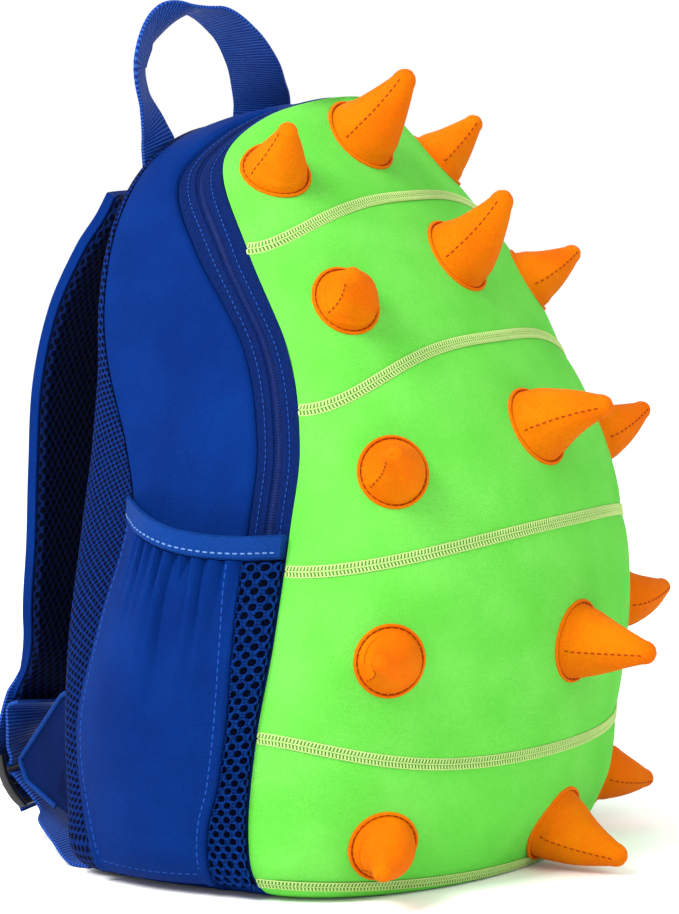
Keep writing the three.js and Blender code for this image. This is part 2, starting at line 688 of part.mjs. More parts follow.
function makeBasePanel() {
  const front = greenY(0) + EDGE_GAP;
  const back = seamY(0) - GAP;
  const half = halfWidth(0) - GAP;
  const base = new THREE.Mesh(new THREE.BoxGeometry(2 * half, back - front, BASE_THICKNESS),
    BLUE_NEOPRENE);
  base.name = "base_panel";
  base.position.set(0, (front + back) / 2, BASE_THICKNESS / 2);
  bag.add(base);
}

// The side pockets

const pocketFront = curve(POCKET_FRONT, "up", "y");
const swellAcross = curve(POCKET_SWELL, "at", "across");
const swellUp = curve(POCKET_SWELL, "at", "up");
const POCKET_DIP = 6;          // the elastic top edge sags this much in its middle
const POCKET_COLUMNS = 9;
const pocketTop = (t) => POCKET_HEIGHT - BINDING_HEIGHT + POCKET_DIP * (1 - Math.sin(Math.PI * t));

// a point over the pocket: t across from the rear edge to the green edge, at a height
function pocketPoint(side, t, z, proud) {
  const share = shareAt(z);
  const y = mix(seamY(share), greenY(share) + EDGE_GAP, t);
  const up = clamp((z - POCKET_FOOT) / (pocketTop(t) - POCKET_FOOT), 0, 1);
  const swell = POCKET_BULGE * swellAcross(t) * swellUp(up);
  return sidePoint(side * (1 - share), y, gussetProud(share, y) + GAP + swell + proud);
}

// one piece of the pocket between two shares across, each a function of the height
function pocketPiece(name, side, fromT, toT, columns, thickness, finish) {
  const heights = stationsBetween(shareAt(POCKET_FOOT), shareAt(POCKET_HEIGHT - BINDING_HEIGHT))
    .map((share) => outlineAt(share).z);
  const span = heights[heights.length - 1] - POCKET_FOOT;
  const grid = (proud) => heights.map((level) => range(columns + 1).map((j) => {
    const t = mix(fromT(level), toT(level), j / columns);
    const z = level + ((level - POCKET_FOOT) / span) * (pocketTop(t) - heights[heights.length - 1]);
    return pocketPoint(side, t, z, proud);
  }));
  wall(name, grid(thickness), grid(0), finish);
}

function makePocket(name, side) {
  const share = (z) => shareAt(z);
  const edgeT = (z) => {
    const up = (z - POCKET_FOOT) / (POCKET_HEIGHT - POCKET_FOOT);
    const y = BACK_Y * pocketFront(up);
    return (seamY(share(z)) - y) / (seamY(share(z)) - greenY(share(z)));
  };
  const half = GAP / 2 / BACK_Y;
  pocketPiece(`pocket_${name}`, side, () => 0, (z) => edgeT(z) - half, POCKET_COLUMNS,
    POCKET_WALL, BLUE_NEOPRENE);
  pocketPiece(`pocket_mesh_${name}`, side, (z) => edgeT(z) + half, () => 1, 2,
    POCKET_WALL, NAVY_MESH);
  const columns = POCKET_COLUMNS + 3;
  const levels = [GAP, BINDING_HEIGHT];
  const grid = (proud) => levels.map((rise) => range(columns + 1).map((j) =>
    pocketPoint(side, j / columns, pocketTop(j / columns) + rise, proud)));
  wall(`pocket_binding_${name}`, grid(BINDING_WALL), grid(0), BLUE_BINDING);
}

// Straps and webbing

// a flat band along a line of places, each with a centre, the direction of its width, and its
// width and thickness; a level place keeps that direction as it is, and soften rounds a padded edge
function band(name, places, finish, soften = 0) {
  const rings = places.map((place, i) => {
    const before = places[Math.max(0, i - 1)].centre;
    const after = places[Math.min(places.length - 1, i + 1)].centre;
    const run = after.clone().sub(before).normalize();
    const skew = place.level ? 0 : place.across.dot(run);
    const wide = place.across.clone().addScaledVector(run, -skew).normalize();
    const out = wide.clone().cross(run).normalize();
    const a = place.width / 2;
    const b = place.thickness / 2;
    const c = soften * place.thickness;
    const outline = soften > 0
      ? [[-a, -b], [a, -b], [a, b - c], [a - c, b], [-a + c, b], [-a, b - c]]
      : [[-a, -b], [a, -b], [a, b], [-a, b]];
    return outline.map(([u, w]) =>
      place.centre.clone().addScaledVector(wide, u).addScaledVector(out, w));
  });
  loft(name, rings, finish);
}

const strapOut = curve([...STRAP].reverse(), "up", "out");
const strapWide = curve([...STRAP].reverse(), "up", "wide");
const strapInward = curve([...STRAP].reverse(), "up", "inward");
const STRAP_STEPS = 14;

// a point of the strap's middle line, at a share up from its foot and a depth in from its face
function strapPoint(side, up, depth) {
  const face = (share) => v3(0, BACK_Y + STRAP_STAND_OFF * strapOut(share),
    mix(STRAP_FOOT, STRAP_TOP, share));
  const run = face(Math.min(1, up + 0.02)).sub(face(Math.max(0, up - 0.02))).normalize();
  return face(up).addScaledVector(v3(0, -run.z, run.y), depth)
    .setX(side * (STRAP_CENTRE_X - STRAP_WIDTH * strapInward(up)));
}

function strapPlaces(side, depth, thickness, narrower) {
  return range(STRAP_STEPS + 1).map((i) => {
    const up = 1 - i / STRAP_STEPS;
    const centre = strapPoint(side, up, depth + thickness / 2);
    return { centre, across: v3(1, 0, 0), width: STRAP_WIDTH * strapWide(up) - narrower, thickness };
  });
}

function makeStrap(name, side) {
  const cover = STRAP_THICKNESS - STRAP_LINING;
  band(`strap_${name}`, strapPlaces(side, 0, cover, 0), BLUE_NEOPRENE, 0.3);
  band(`strap_lining_${name}`, strapPlaces(side, cover + GAP, STRAP_LINING, 3), NAVY_MESH);
}

// the ladder lock's own directions: across its width, down its length, and out of its face
function lockFrame(side) {
  const turn = radians(LOCK_TURN);
  const tilt = radians(LOCK_TILT);
  const across = v3(Math.cos(turn), -side * Math.sin(turn), 0);
  const down = v3(0, -Math.sin(tilt), -Math.cos(tilt));
  down.addScaledVector(across, -down.dot(across)).normalize();
  const out = across.clone().cross(down);
  const centre = v3(side * LOCK_X, BACK_Y + LOCK_OUT, LOCK_UP);
  const at = (a, n) => centre.clone().addScaledVector(down, a).addScaledVector(out, n);
  return { across, down, out, centre, at };
}

const BAR_STEP = (LOCK_LENGTH - LOCK_BAR) / 2;
const TURN_RADIUS = Math.hypot(LOCK_BAR / 2, LOCK_THICKNESS / 2) + EDGE_GAP + WEBBING_WALL / 2;

function makeLock(name, side) {
  const frame = lockFrame(side);
  const box = (x, y, width, length, path) => {
    path.moveTo(x, y);
    path.lineTo(x + width, y);
    path.lineTo(x + width, y + length);
    path.lineTo(x, y + length);
    path.closePath();
    return path;
  };
  const shape = box(-LOCK_WIDTH / 2, -LOCK_LENGTH / 2, LOCK_WIDTH, LOCK_LENGTH, new THREE.Shape());
  const slot = LOCK_WIDTH - 2 * LOCK_BAR;
  const tall = BAR_STEP - LOCK_BAR;
  [-BAR_STEP + LOCK_BAR / 2, LOCK_BAR / 2].forEach((y) =>
    shape.holes.push(box(-slot / 2, y, slot, tall, new THREE.Path())));
  const geometry = new THREE.ExtrudeGeometry(shape, { depth: LOCK_THICKNESS, bevelEnabled: false });
  geometry.translate(0, 0, -LOCK_THICKNESS / 2);
  const lock = new THREE.Mesh(geometry, BLACK_PLASTIC);
  lock.name = `ladder_lock_${name}`;
  lock.position.copy(frame.centre);
  lock.quaternion.setFromRotationMatrix(
    new THREE.Matrix4().makeBasis(frame.across, frame.down, frame.out));
  bag.add(lock);
}

// stops half round a bar of the lock, from its outer face (1) or its inner face (-1)
function roundBar(frame, bar, from, below) {
  return range(7).map((i) => {
    const angle = (i / 6) * Math.PI;
    return frame.at(bar + below * TURN_RADIUS * Math.sin(angle), from * TURN_RADIUS * Math.cos(angle));
  });
}

// the strap's webbing: sewn to both faces of the strap's end and looped round the top bar
function makeStrapWebbing(name, side) {
  const frame = lockFrame(side);
  const seat = GAP + WEBBING_WALL / 2;
  const level = v3(1, 0, 0);
  const outside = [0.07, 0.035, 0.0].map((up) => strapPoint(side, up, -seat - GAP));
  const behind = STRAP_THICKNESS + 2 * seat + WEBBING_WALL;
  const inside = [-0.01, 0.03, 0.07].map((up) => strapPoint(side, up, behind));
  const above = -LOCK_LENGTH / 2 - 2;
  const turn = [frame.at(above, TURN_RADIUS), ...roundBar(frame, -BAR_STEP, 1, 1),
    frame.at(above, -TURN_RADIUS)];
  const points = [...outside, ...turn, ...inside];
  const onStrap = (i) => i < outside.length || i >= points.length - inside.length;
  const places = points.map((centre, i) => ({
    centre,
    across: onStrap(i) ? level : frame.across,
    level: !onStrap(i),
    width: WEBBING,
    thickness: WEBBING_WALL,
  }));
  band(`strap_webbing_${name}`, places, BLUE_WEBBING);
}

// the adjusting webbing: from the corner of the base up the lock's inner side, over its middle
// bar, and down past its outer side to a short end
function makeAdjustWebbing(name, side) {
  const frame = lockFrame(side);
  const lowest = GAP + WEBBING_WALL / 2;
  const run = BACK_Y + LOCK_OUT;
  const corner = [
    v3(side * TAB_X, BACK_Y - 0.8, lowest),
    v3(side * TAB_X, mix(BACK_Y, run, 0.16), lowest + 0.5),
    v3(side * mix(TAB_X, LOCK_X, 0.25), mix(BACK_Y, run, 0.40), LOCK_UP * 0.30),
    v3(side * mix(TAB_X, LOCK_X, 0.65), mix(BACK_Y, run, 0.66), LOCK_UP * 0.50),
  ];
  const level = v3(1, 0, 0);
  const stops = [
    ...corner.map((centre, i) => ({
      centre, across: level.clone().lerp(frame.across, (i * i) / 16), width: WEBBING,
    })),
    ...[frame.at(LOCK_LENGTH / 2 + 3, -TURN_RADIUS - 1.5), ...roundBar(frame, 0, -1, -1),
      frame.at(BAR_STEP, TURN_RADIUS), frame.at(LOCK_LENGTH, TURN_RADIUS)]
      .map((centre) => ({ centre, across: frame.across, level: true, width: WEBBING })),
  ];
  const places = stops.map((stop) => ({ ...stop, thickness: WEBBING_WALL }));
  band(`adjust_webbing_${name}`, places, BLUE_WEBBING);
}

// the neoprene wing between the back panel and the adjusting webbing
function makeTab(name, side) {
  const outline = [[0, TAB_FOOT], [0, TAB_TOP], [0.45, mix(TAB_TOP, TAB_TIP, 0.5)], [1, TAB_TIP],
    [0.9, TAB_TIP * 0.68], [0.5, TAB_TIP * 0.45]];
  const face = (half) => outline.map(([reach, z]) =>
    v3(side * (mix(TAB_X + 6, LOCK_X + 10, reach) + half), BACK_Y + GAP + TAB_REACH * reach, z));
  const near = face(-TAB_WALL / 2);
  const far = face(TAB_WALL / 2);
  loft(`side_tab_${name}`, [near, far], BLUE_NEOPRENE);
}

function makeHandle() {
  const footZ = BAG_HEIGHT - BACK_DROP - HANDLE_FOOT_DROP;
  const places = HANDLE.map((row) => v3(
    HANDLE_HALF_SPAN * row.across,
    BACK_Y + GAP + WEBBING_WALL / 2 - HANDLE_LEAN * row.lean,
    footZ + HANDLE_RISE * row.up,
  ));
  const line = new THREE.CatmullRomCurve3(places, false, "centripetal");
  const count = 2 * (HANDLE.length - 1);
  const stops = range(count + 1).map((i) => {
    const t = i / count;
    const k = clamp(Math.floor(t * (HANDLE.length - 1)), 0, HANDLE.length - 2);
    const angle = radians(mix(HANDLE[k].twist, HANDLE[k + 1].twist, t * (HANDLE.length - 1) - k));
    const run = line.getTangent(t);
    const level = v3(0, 1, 0).addScaledVector(run, -run.y).normalize();
    const across = level.clone().multiplyScalar(Math.cos(angle))
      .addScaledVector(run.clone().cross(level), Math.sin(angle));
    return { centre: line.getPoint(t), across, width: WEBBING, thickness: WEBBING_WALL };
  });
  band("handle", stops, BLUE_WEBBING);
}

makeFront();
makeSpikes();
makeGusset();
makeZip();
makeBackPanel();
makeBasePanel();
makePocket("left", -1);
makePocket("right", 1);
for (const [name, side] of [["left", -1], ["right", 1]]) {
  makeStrap(name, side);
  makeLock(name, side);
  makeStrapWebbing(name, side);
  makeAdjustWebbing(name, side);
  makeTab(name, side);
}
makeHandle();

export default bag;
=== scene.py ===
# A child's backpack of neoprene: a green front with rows of orange spikes on a blue body.
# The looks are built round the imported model. Lengths are in millimetres and become metres as
# each mesh is made. They come from the forms and tables of the model's source, but the straps'
# lower ends, the locks and the wings are closer to the photograph here.

import math

import bpy
import numpy as np
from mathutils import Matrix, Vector


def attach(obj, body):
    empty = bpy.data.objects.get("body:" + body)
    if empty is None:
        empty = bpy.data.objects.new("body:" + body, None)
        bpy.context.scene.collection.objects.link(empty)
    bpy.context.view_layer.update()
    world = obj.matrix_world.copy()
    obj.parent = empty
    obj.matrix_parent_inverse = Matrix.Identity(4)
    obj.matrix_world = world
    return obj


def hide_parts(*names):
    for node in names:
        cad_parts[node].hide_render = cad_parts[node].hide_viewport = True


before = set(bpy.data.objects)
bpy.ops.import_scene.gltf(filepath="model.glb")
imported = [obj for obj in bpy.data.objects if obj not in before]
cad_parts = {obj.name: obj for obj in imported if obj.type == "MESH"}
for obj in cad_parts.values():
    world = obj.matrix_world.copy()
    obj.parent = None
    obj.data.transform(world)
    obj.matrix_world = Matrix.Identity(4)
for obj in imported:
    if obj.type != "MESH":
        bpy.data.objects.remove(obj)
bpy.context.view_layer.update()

# The camera, at the photograph's viewing angle

CAMERA_AZIMUTH = math.radians(-58.19)
CAMERA_ELEVATION = math.radians(6.41)
CAMERA_DISTANCE = 1.6208
CAMERA_LENS = 150.66
CAMERA_SENSOR = 36
AIM_RIGHT = -0.01827
AIM_UP = 0.168


def heading(azimuth, elevation):
    """The direction at an azimuth from the front and an elevation, both in radians."""
    level = math.cos(elevation)
    return math.sin(azimuth) * level, -math.cos(azimuth) * level, math.sin(elevation)


def stand(name, data, aim, back, distance):
    """A camera or lamp that looks at the aim from a distance back."""
    made = bpy.data.objects.new(name, data)
    made.location = aim + back * distance
    made.rotation_mode = "QUATERNION"
    made.rotation_quaternion = (-back).to_track_quat("-Z", "Y")
    bpy.context.scene.collection.objects.link(made)
    return made


def make_camera():
    right = Vector((math.cos(CAMERA_AZIMUTH), math.sin(CAMERA_AZIMUTH), 0))
    data = bpy.data.cameras.new("camera")
    data.sensor_width = CAMERA_SENSOR
    data.lens = CAMERA_LENS
    back = Vector(heading(CAMERA_AZIMUTH, CAMERA_ELEVATION))
    aim = Vector((0, 0, AIM_UP)) + AIM_RIGHT * right
    bpy.context.scene.camera = stand("camera", data, aim, back, CAMERA_DISTANCE)


make_camera()

# Driving sizes, as in the model's source

BAG_HEIGHT = 320
HALF_WIDTH = 121
FRONT_DEPTH = 96
BACK_Y = 82
CORNER_RADIUS = 18
ARCH_START = 0.72
ARCH_POWER = 2.24
DOME_POWER = 1.95
BACK_DROP = 12
CROWN = 5
GAP = 0.3
EDGE_GAP = 0.5
SHELL_WALL = 4
NEOPRENE_WALL = 3
TAPE_WALL = 1.6
PAD_THICKNESS = 13
BASE_THICKNESS = 5
ZIP_BAND = 21
COIL_WIDTH = 3.4
COIL_SHARE = 0.52
SLIDER_LENGTH = 9
SLIDER_WIDTH = 7
WEBBING = 25
WEBBING_WALL = 1.5
SIDE_SPIKE_RADIUS = 15
MIDDLE_SPIKE_RADIUS = 17.5
SIDE_SPIKE_LENGTH = 28
MIDDLE_SPIKE_LENGTH = 37
FLANGE_WIDTH = 2.2
FLANGE_THICKNESS = 1.6
POCKET_HEIGHT = 150
POCKET_BULGE = 19
POCKET_WALL = 2.4
POCKET_FOOT = 7
BINDING_HEIGHT = 10
BINDING_WALL = 4
GUSSET_BULGE = 3
STRAP_WIDTH = 54
STRAP_THICKNESS = 9
STRAP_CENTRE_X = 53
STRAP_STAND_OFF = 46
STRAP_TOP = 281
STRAP_FOOT = 62
LOCK_WIDTH = 33
LOCK_LENGTH = 24
LOCK_THICKNESS = 3
LOCK_BAR = 3.2
LOCK_X = 66
LOCK_OUT = 57
LOCK_UP = 28
LOCK_TURN = math.radians(10)
LOCK_TILT = math.radians(28)
TAB_X = 90
TAB_TOP = 70
TAB_FOOT = 14
TAB_TIP = 36
TAB_WALL = 4
HANDLE_HALF_SPAN = 42
HANDLE_RISE = 64
HANDLE_LEAN = 12
HANDLE_FOOT_DROP = 16


def table(names, *rows):
    """A short table as a dict of columns."""
    return dict(zip(names.split(), np.array(rows, float).T))


OUTLINE = table("up wide", (0.00, 0.985), (0.10, 0.99), (0.22, 1.00), (0.34, 0.975),
                (0.46, 0.905), (0.58, 0.835), (0.70, 0.785), (1.00, 0.785))
FRONT = table("up forward", (0.00, 0.75), (0.05, 0.83), (0.10, 0.91), (0.22, 0.96),
              (0.34, 1.00), (0.46, 0.98), (0.58, 0.82), (0.70, 0.56), (0.82, 0.29),
              (0.92, 0.02), (1.00, -0.18))
RIM = table("along green band seam",
            (0.00, -0.17, 0.95, 0.74), (0.10, -0.12, 0.90, 0.84), (0.20, -0.18, 0.90, 0.87),
            (0.30, -0.26, 0.92, 0.77), (0.42, -0.28, 0.95, 0.66), (0.50, -0.28, 0.98, 0.75),
            (0.60, -0.16, 1.05, 0.92), (0.70, 0.11, 1.20, 0.95), (0.80, 0.40, 1.05, 0.95),
            (0.88, 0.36, 1.00, 0.94), (0.95, 0.23, 1.10, 0.93), (1.00, 0.21, 1.12, 0.93))
SEAMS = table("edge rise power", (0.814, 0.058, 2.75), (0.617, 0.076, 2.95),
              (0.420, 0.044, 2.25), (0.212, -0.044, 4.20), (0.025, -0.016, 2.00))
SPIKES = table("up out yaw pitch middle_up middle_pitch middle_out",
               (0.908, 0.85, 42, 44, 0.948, 49, -0.16), (0.749, 0.79, 54, 28, 0.793, 49, 0.03),
               (0.542, 0.83, 60, 23, 0.581, 17, -0.08), (0.312, 0.82, 70, 8, 0.306, -4, -0.03),
               (0.074, 0.77, 62, -13, 0.060, -18, 0.02))
SPIKE_PROFILE = table("along wide", (0.00, 1.00), (0.22, 0.90), (0.46, 0.70), (0.70, 0.48),
                      (0.86, 0.33))
POCKET_FRONT = table("up y", (0.00, 0.085), (0.17, 0.05), (0.30, -0.02), (0.50, -0.085),
                     (0.70, -0.12), (1.00, -0.13))
POCKET_SWELL = table("at across up", (0.0, 0.00, 0.00), (0.1, 0.42, 0.30), (0.3, 0.86, 0.56),
                     (0.5, 1.00, 0.74), (0.7, 0.86, 0.90), (0.9, 0.42, 1.00), (1.0, 0.00, 1.00))
POCKET_SAG = table("at rise", (0.00, 13), (0.10, 9.5), (0.25, 3.0), (0.45, -3.0), (0.65, -5.0),
                   (0.85, -4.0), (1.00, -1.5))
STRAP = table("up out wide inward", (0.00, 1.25, 0.56, -0.085), (0.06, 1.15, 0.66, -0.05),
              (0.18, 1.06, 0.90, -0.08), (0.32, 1.03, 0.98, -0.02), (0.46, 1.01, 1.00, 0.00),
              (0.63, 0.95, 1.00, 0.00), (0.78, 0.78, 1.00, 0.03), (0.90, 0.50, 1.00, 0.07),
              (0.96, 0.32, 0.95, 0.10), (1.00, 0.23, 0.90, 0.11))
HANDLE = table("across up lean twist",
               (-1.05, 0.00, 0.00, 90), (-1.08, 0.12, -0.02, 92), (-1.12, 0.22, -0.12, 102),
               (-1.24, 0.41, -0.20, 117), (-1.35, 0.66, -0.10, 115), (-1.10, 0.88, -0.15, 119),
               (-0.78, 0.95, 0.00, 146), (-0.43, 1.00, 0.42, 178), (-0.10, 0.86, 0.90, 181),
               (0.19, 0.67, 1.00, 174), (0.45, 0.52, 0.70, 171), (0.74, 0.37, 0.20, 155),
               (0.88, 0.22, -0.20, 122), (0.95, 0.11, -0.12, 98), (1.00, 0.00, 0.00, 90))

# Plain helpers


def curve(rows, source, target):
    """A smooth curve through a table's rows, from one column to another."""
    xs, ys = rows[source], rows[target]
    order = np.arange(len(xs))
    before, after = np.maximum(order - 1, 0), np.minimum(order + 1, len(xs) - 1)
    slope = (ys[after] - ys[before]) / (xs[after] - xs[before])

    def at(value):
        x = np.clip(value, xs[0], xs[-1])
        i = np.clip(np.searchsorted(xs, x, side="right") - 1, 0, len(xs) - 2)
        h = xs[i + 1] - xs[i]
        t = (x - xs[i]) / h
        return ((2 * t**3 - 3 * t**2 + 1) * ys[i] + (t**3 - 2 * t**2 + t) * h * slope[i]
                + (3 * t**2 - 2 * t**3) * ys[i + 1] + (t**3 - t**2) * h * slope[i + 1])
    return at


def mix(a, b, t):
    return a + (b - a) * t


def points(x, y, z):
    """An array of points from three arrays or numbers."""
    return np.stack(np.broadcast_arrays(*(np.asarray(v, float) for v in (x, y, z))), -1)


def unit(vectors):
    return vectors / np.maximum(np.linalg.norm(vectors, axis=-1, keepdims=True), 1e-9)


def ring_angles(count):
    return np.arange(count) * 2 * np.pi / count


def looped(grid, axis=1):
    """A grid with its first column, or first row of another axis, again at the end."""
    return np.concatenate([grid, np.take(grid, [0], axis)], axis)


def smooth_step(value, low, high):
    t = np.clip((value - low) / (high - low), 0, 1)
    return t * t * (3 - 2 * t)


def bump(value, centre, width):
    """1 at the centre, falling softly to nothing at about two widths."""
    return np.exp(-((value - centre) / width) ** 2)


def lengths(line):
    """How far along a line of points each one lies."""
    return np.concatenate([[0], np.cumsum(np.linalg.norm(np.diff(line, axis=0), axis=1))])


def spaced(line, count, *others):
    """The line, and other columns given at its points, at evenly spaced lengths."""
    run = lengths(line)
    at = np.linspace(0, run[-1], count)
    made = []
    for column in (line, *others):
        column = np.asarray(column, float)
        if column.ndim == 1:
            made.append(np.interp(at, run, column))
        else:
            made.append(np.stack([np.interp(at, run, c) for c in column.T], -1))
    return made


# The bag's form

wide_at = curve(OUTLINE, "up", "wide")
forward_at = curve(FRONT, "up", "forward")
green_along = curve(RIM, "along", "green")
band_along = curve(RIM, "along", "band")
seam_along = curve(RIM, "along", "seam")


def half_width(z):
    up = np.clip(z / BAG_HEIGHT, 0, 1)
    t = np.maximum(0, (up - ARCH_START) / (1 - ARCH_START))
    arch = np.maximum(0, 1 - t**ARCH_POWER) ** (1 / ARCH_POWER)
    low = np.clip(z, 0, CORNER_RADIUS)
    corner = CORNER_RADIUS - np.sqrt(CORNER_RADIUS**2 - (CORNER_RADIUS - low) ** 2)
    return HALF_WIDTH * wide_at(up) * arch - corner


SLOPE_STEP = 0.25       # how far apart the form is measured for its slope
STEPS = 2400
step_z = BAG_HEIGHT * (1 - np.cos(np.pi * np.arange(STEPS + 1) / STEPS)) / 2
step_x = half_width(step_z)
step_length = lengths(np.stack([step_x, step_z], -1))
OUTLINE_LENGTH = step_length[-1]
step_nx = np.gradient(step_z, step_length)
step_nz = -np.gradient(step_x, step_length)


def outline_at(share):
    """x, z and the outward direction on the outline, at a share of its length."""
    at = np.clip(share, 0, 1) * OUTLINE_LENGTH
    return [np.interp(at, step_length, column) for column in (step_x, step_z, step_nx, step_nz)]


def share_at(z):
    return np.interp(z, step_z, step_length) / OUTLINE_LENGTH


def green_y(share):
    return BACK_Y * green_along(share)


def zip_y(share):
    return green_y(share) + ZIP_BAND * band_along(share)


def coil_y(share):
    return mix(green_y(share), zip_y(share), COIL_SHARE)


def seam_y(share):
    return BACK_Y * seam_along(share)


def side_point(s, y, proud):
    """A point over the side, at s from -1 (left end of the base) to 1 (right end)."""
    x, z, nx, nz = outline_at(1 - np.abs(s))
    side = np.where(np.asarray(s) < 0, -1, 1)
    back = smooth_step(y, green_y(1), seam_y(1))
    return points(side * (x + nx * proud), y, z * (1 - BACK_DROP / BAG_HEIGHT * back) + nz * proud)


def front_y(z):
    return -FRONT_DEPTH * forward_at(z / BAG_HEIGHT)


def dome_point(across, z):
    edge = green_y(share_at(z))
    rounded = np.maximum(0, 1 - np.abs(across) ** DOME_POWER) ** (1 / DOME_POWER)
    return points(half_width(z) * across, mix(edge, np.minimum(edge, front_y(z)), rounded), z)


def dome_level(p, edge_z):
    """How far out a point lies: 1 on the front's face, less inside it."""
    z = np.clip(p[..., 2], 0, BAG_HEIGHT - 0.01)
    edge = green_y(share_at(np.clip(edge_z, 0, BAG_HEIGHT - 0.01)))
    ahead = np.maximum(0, edge - p[..., 1]) / np.maximum(1, edge - front_y(z))
    return (np.abs(p[..., 0]) / half_width(z)) ** DOME_POWER + ahead**DOME_POWER


def dome_normal(p):
    """The direction out of the front's face, which is straight up over its flat crown."""
    base = p.copy()
    base[..., 2] = np.clip(p[..., 2], SLOPE_STEP, BAG_HEIGHT - CROWN)
    slopes = []
    for axis in range(3):
        step = np.zeros(3)
        step[axis] = SLOPE_STEP
        slopes.append(dome_level(base + step, base[..., 2]) - dome_level(base - step, base[..., 2]))
    crown = np.clip((p[..., 2:] - BAG_HEIGHT + 2 * CROWN) / CROWN, 0, 1)
    return unit(mix(unit(np.stack(slopes, -1)), np.array([0, 0, 1.0]), crown))


def gusset_proud(share, y):
    t = np.clip((seam_y(share) - y) / (seam_y(share) - zip_y(share)), 0, 1)
    corner = CORNER_RADIUS * np.pi / 2 / OUTLINE_LENGTH
    return GUSSET_BULGE * np.sin(np.pi * t) * np.clip(share / corner, 0, 1)


# Making meshes

THREAD = table("along thick", (0, 0.45), (0.18, 1), (0.82, 1), (1, 0.45))
THREAD_SIDES = 6
THREAD_FLATNESS = 0.6
STITCHES = {
    # length, space between, radius and lift off the cloth
    "spike_seam": (1.7, 0.9, 0.30, 0.1),
    "flange": (2.2, 0.8, 0.34, 0.0),
    "zip": (1.6, 0.9, 0.22, 0.0),
    "back": (2.4, 1.0, 0.40, 0.0),
    "pocket": (2.3, 1.1, 0.32, 0.0),
    "elastic": (1.9, 1.0, 0.36, 0.0),
    "strap": (2.4, 1.1, 0.30, 0.0),
    "webbing": (1.7, 0.8, 0.40, 0.0),
}


class Shape:
    """Collects corners in millimetres, faces, and a flat cloth position for each face corner."""

    def __init__(self):
        self.corners, self.faces, self.cloth, self.count = [], [], [], 0

    def add(self, corners):
        corners = np.asarray(corners, float)
        numbers = self.count + np.arange(corners[..., 0].size).reshape(corners.shape[:-1])
        self.corners.append(corners.reshape(-1, 3))
        self.count += corners[..., 0].size
        return numbers

    def quads(self, numbers, cloth):
        """Faces between the rows and columns of a grid of corner numbers."""
        square = [numbers[:-1, :-1], numbers[:-1, 1:], numbers[1:, 1:], numbers[1:, :-1]]
        flat = [cloth[:-1, :-1], cloth[:-1, 1:], cloth[1:, 1:], cloth[1:, :-1]]
        self.faces.extend(np.stack(square, -1).reshape(-1, 4).tolist())
        self.cloth.append(np.stack(flat, -2).reshape(-1, 2))

    def face(self, numbers, cloth):
        self.faces.append([int(n) for n in numbers])
        self.cloth.append(np.asarray(cloth, float).reshape(-1, 2))

    def tube(self, rings):
        """A closed form through a row of like rings, with a face over each end."""
        numbers = self.add(rings)
        cloth = flat_cloth(looped(rings))
        self.quads(looped(numbers), cloth)
        self.face(numbers[0][::-1], cloth[0, :-1][::-1])
        self.face(numbers[-1], cloth[-1, :-1])

    def slabs(self, starts, ends, outs, radius):
        """A short rounded thread from each start to each end."""
        run = unit(ends - starts)
        wide = unit(np.cross(run, outs))
        rise = np.cross(wide, run)
        angle = ring_angles(THREAD_SIDES)
        rings = []
        for t, share in zip(THREAD["along"], THREAD["thick"]):
            centre = mix(starts, ends, t)[:, None]
            offset = (np.cos(angle)[None, :, None] * wide[:, None]
                      + np.sin(angle)[None, :, None] * rise[:, None] * THREAD_FLATNESS)
            rings.append(centre + radius * share * offset)
        numbers = self.add(np.stack(rings, 1))
        round_each = looped(numbers, 2)
        a, b = round_each[:, :-1, :-1], round_each[:, :-1, 1:]
        c, d = round_each[:, 1:, 1:], round_each[:, 1:, :-1]
        faces = np.stack([a, b, c, d], -1).reshape(-1, 4).tolist()
        faces += numbers[:, 0, ::-1].tolist() + numbers[:, -1].tolist()
        self.faces.extend(faces)
        self.cloth.append(np.zeros((sum(len(f) for f in faces), 2)))

    def make(self, name, finish, replaces=(), crease=40):
        """The finished object, in metres, riding on the bag."""
        corners = np.concatenate(self.corners)
        mesh = bpy.data.meshes.new(name)
        mesh.from_pydata((corners / 1000).tolist(), [], self.faces)
        layer = mesh.uv_layers.new(name="cloth")
        layer.data.foreach_set("uv", np.concatenate(self.cloth).astype(np.float32).ravel())
        mesh.materials.append(finish)
        mesh.polygons.foreach_set("use_smooth", [True] * len(mesh.polygons))
        face_outward(mesh)
        mesh.set_sharp_from_angle(angle=math.radians(crease))
        mesh.validate()
        made = bpy.data.objects.new(name, mesh)
        bpy.context.scene.collection.objects.link(made)
        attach(made, "root")
        if replaces:
            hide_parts(*replaces)
        return made


def face_outward(mesh):
    """Turns the faces over if the mesh is inside out."""
    count = len(mesh.polygons)
    centres = np.zeros(count * 3)
    normals = np.zeros(count * 3)
    areas = np.zeros(count)
    mesh.polygons.foreach_get("center", centres)
    mesh.polygons.foreach_get("normal", normals)
    mesh.polygons.foreach_get("area", areas)
    reach = (centres.reshape(-1, 3) - centres.reshape(-1, 3).mean(0)) * normals.reshape(-1, 3)
    if (reach.sum(1) * areas).sum() < 0:
        mesh.flip_normals()


def flat_cloth(grid):
    """Each grid point's place on the flat cloth: along its row, and down its column."""
    across = np.linalg.norm(np.diff(grid, axis=1), axis=-1)
    down = np.linalg.norm(np.diff(grid, axis=0), axis=-1)
    u = np.concatenate([np.zeros((len(grid), 1)), np.cumsum(across, 1)], 1)
    v = np.concatenate([np.zeros((1, grid.shape[1])), np.cumsum(down, 0)], 0)
    u = u - u.mean(1, keepdims=True)
    return np.stack([u, np.broadcast_to(v.mean(1, keepdims=True), u.shape)], -1)


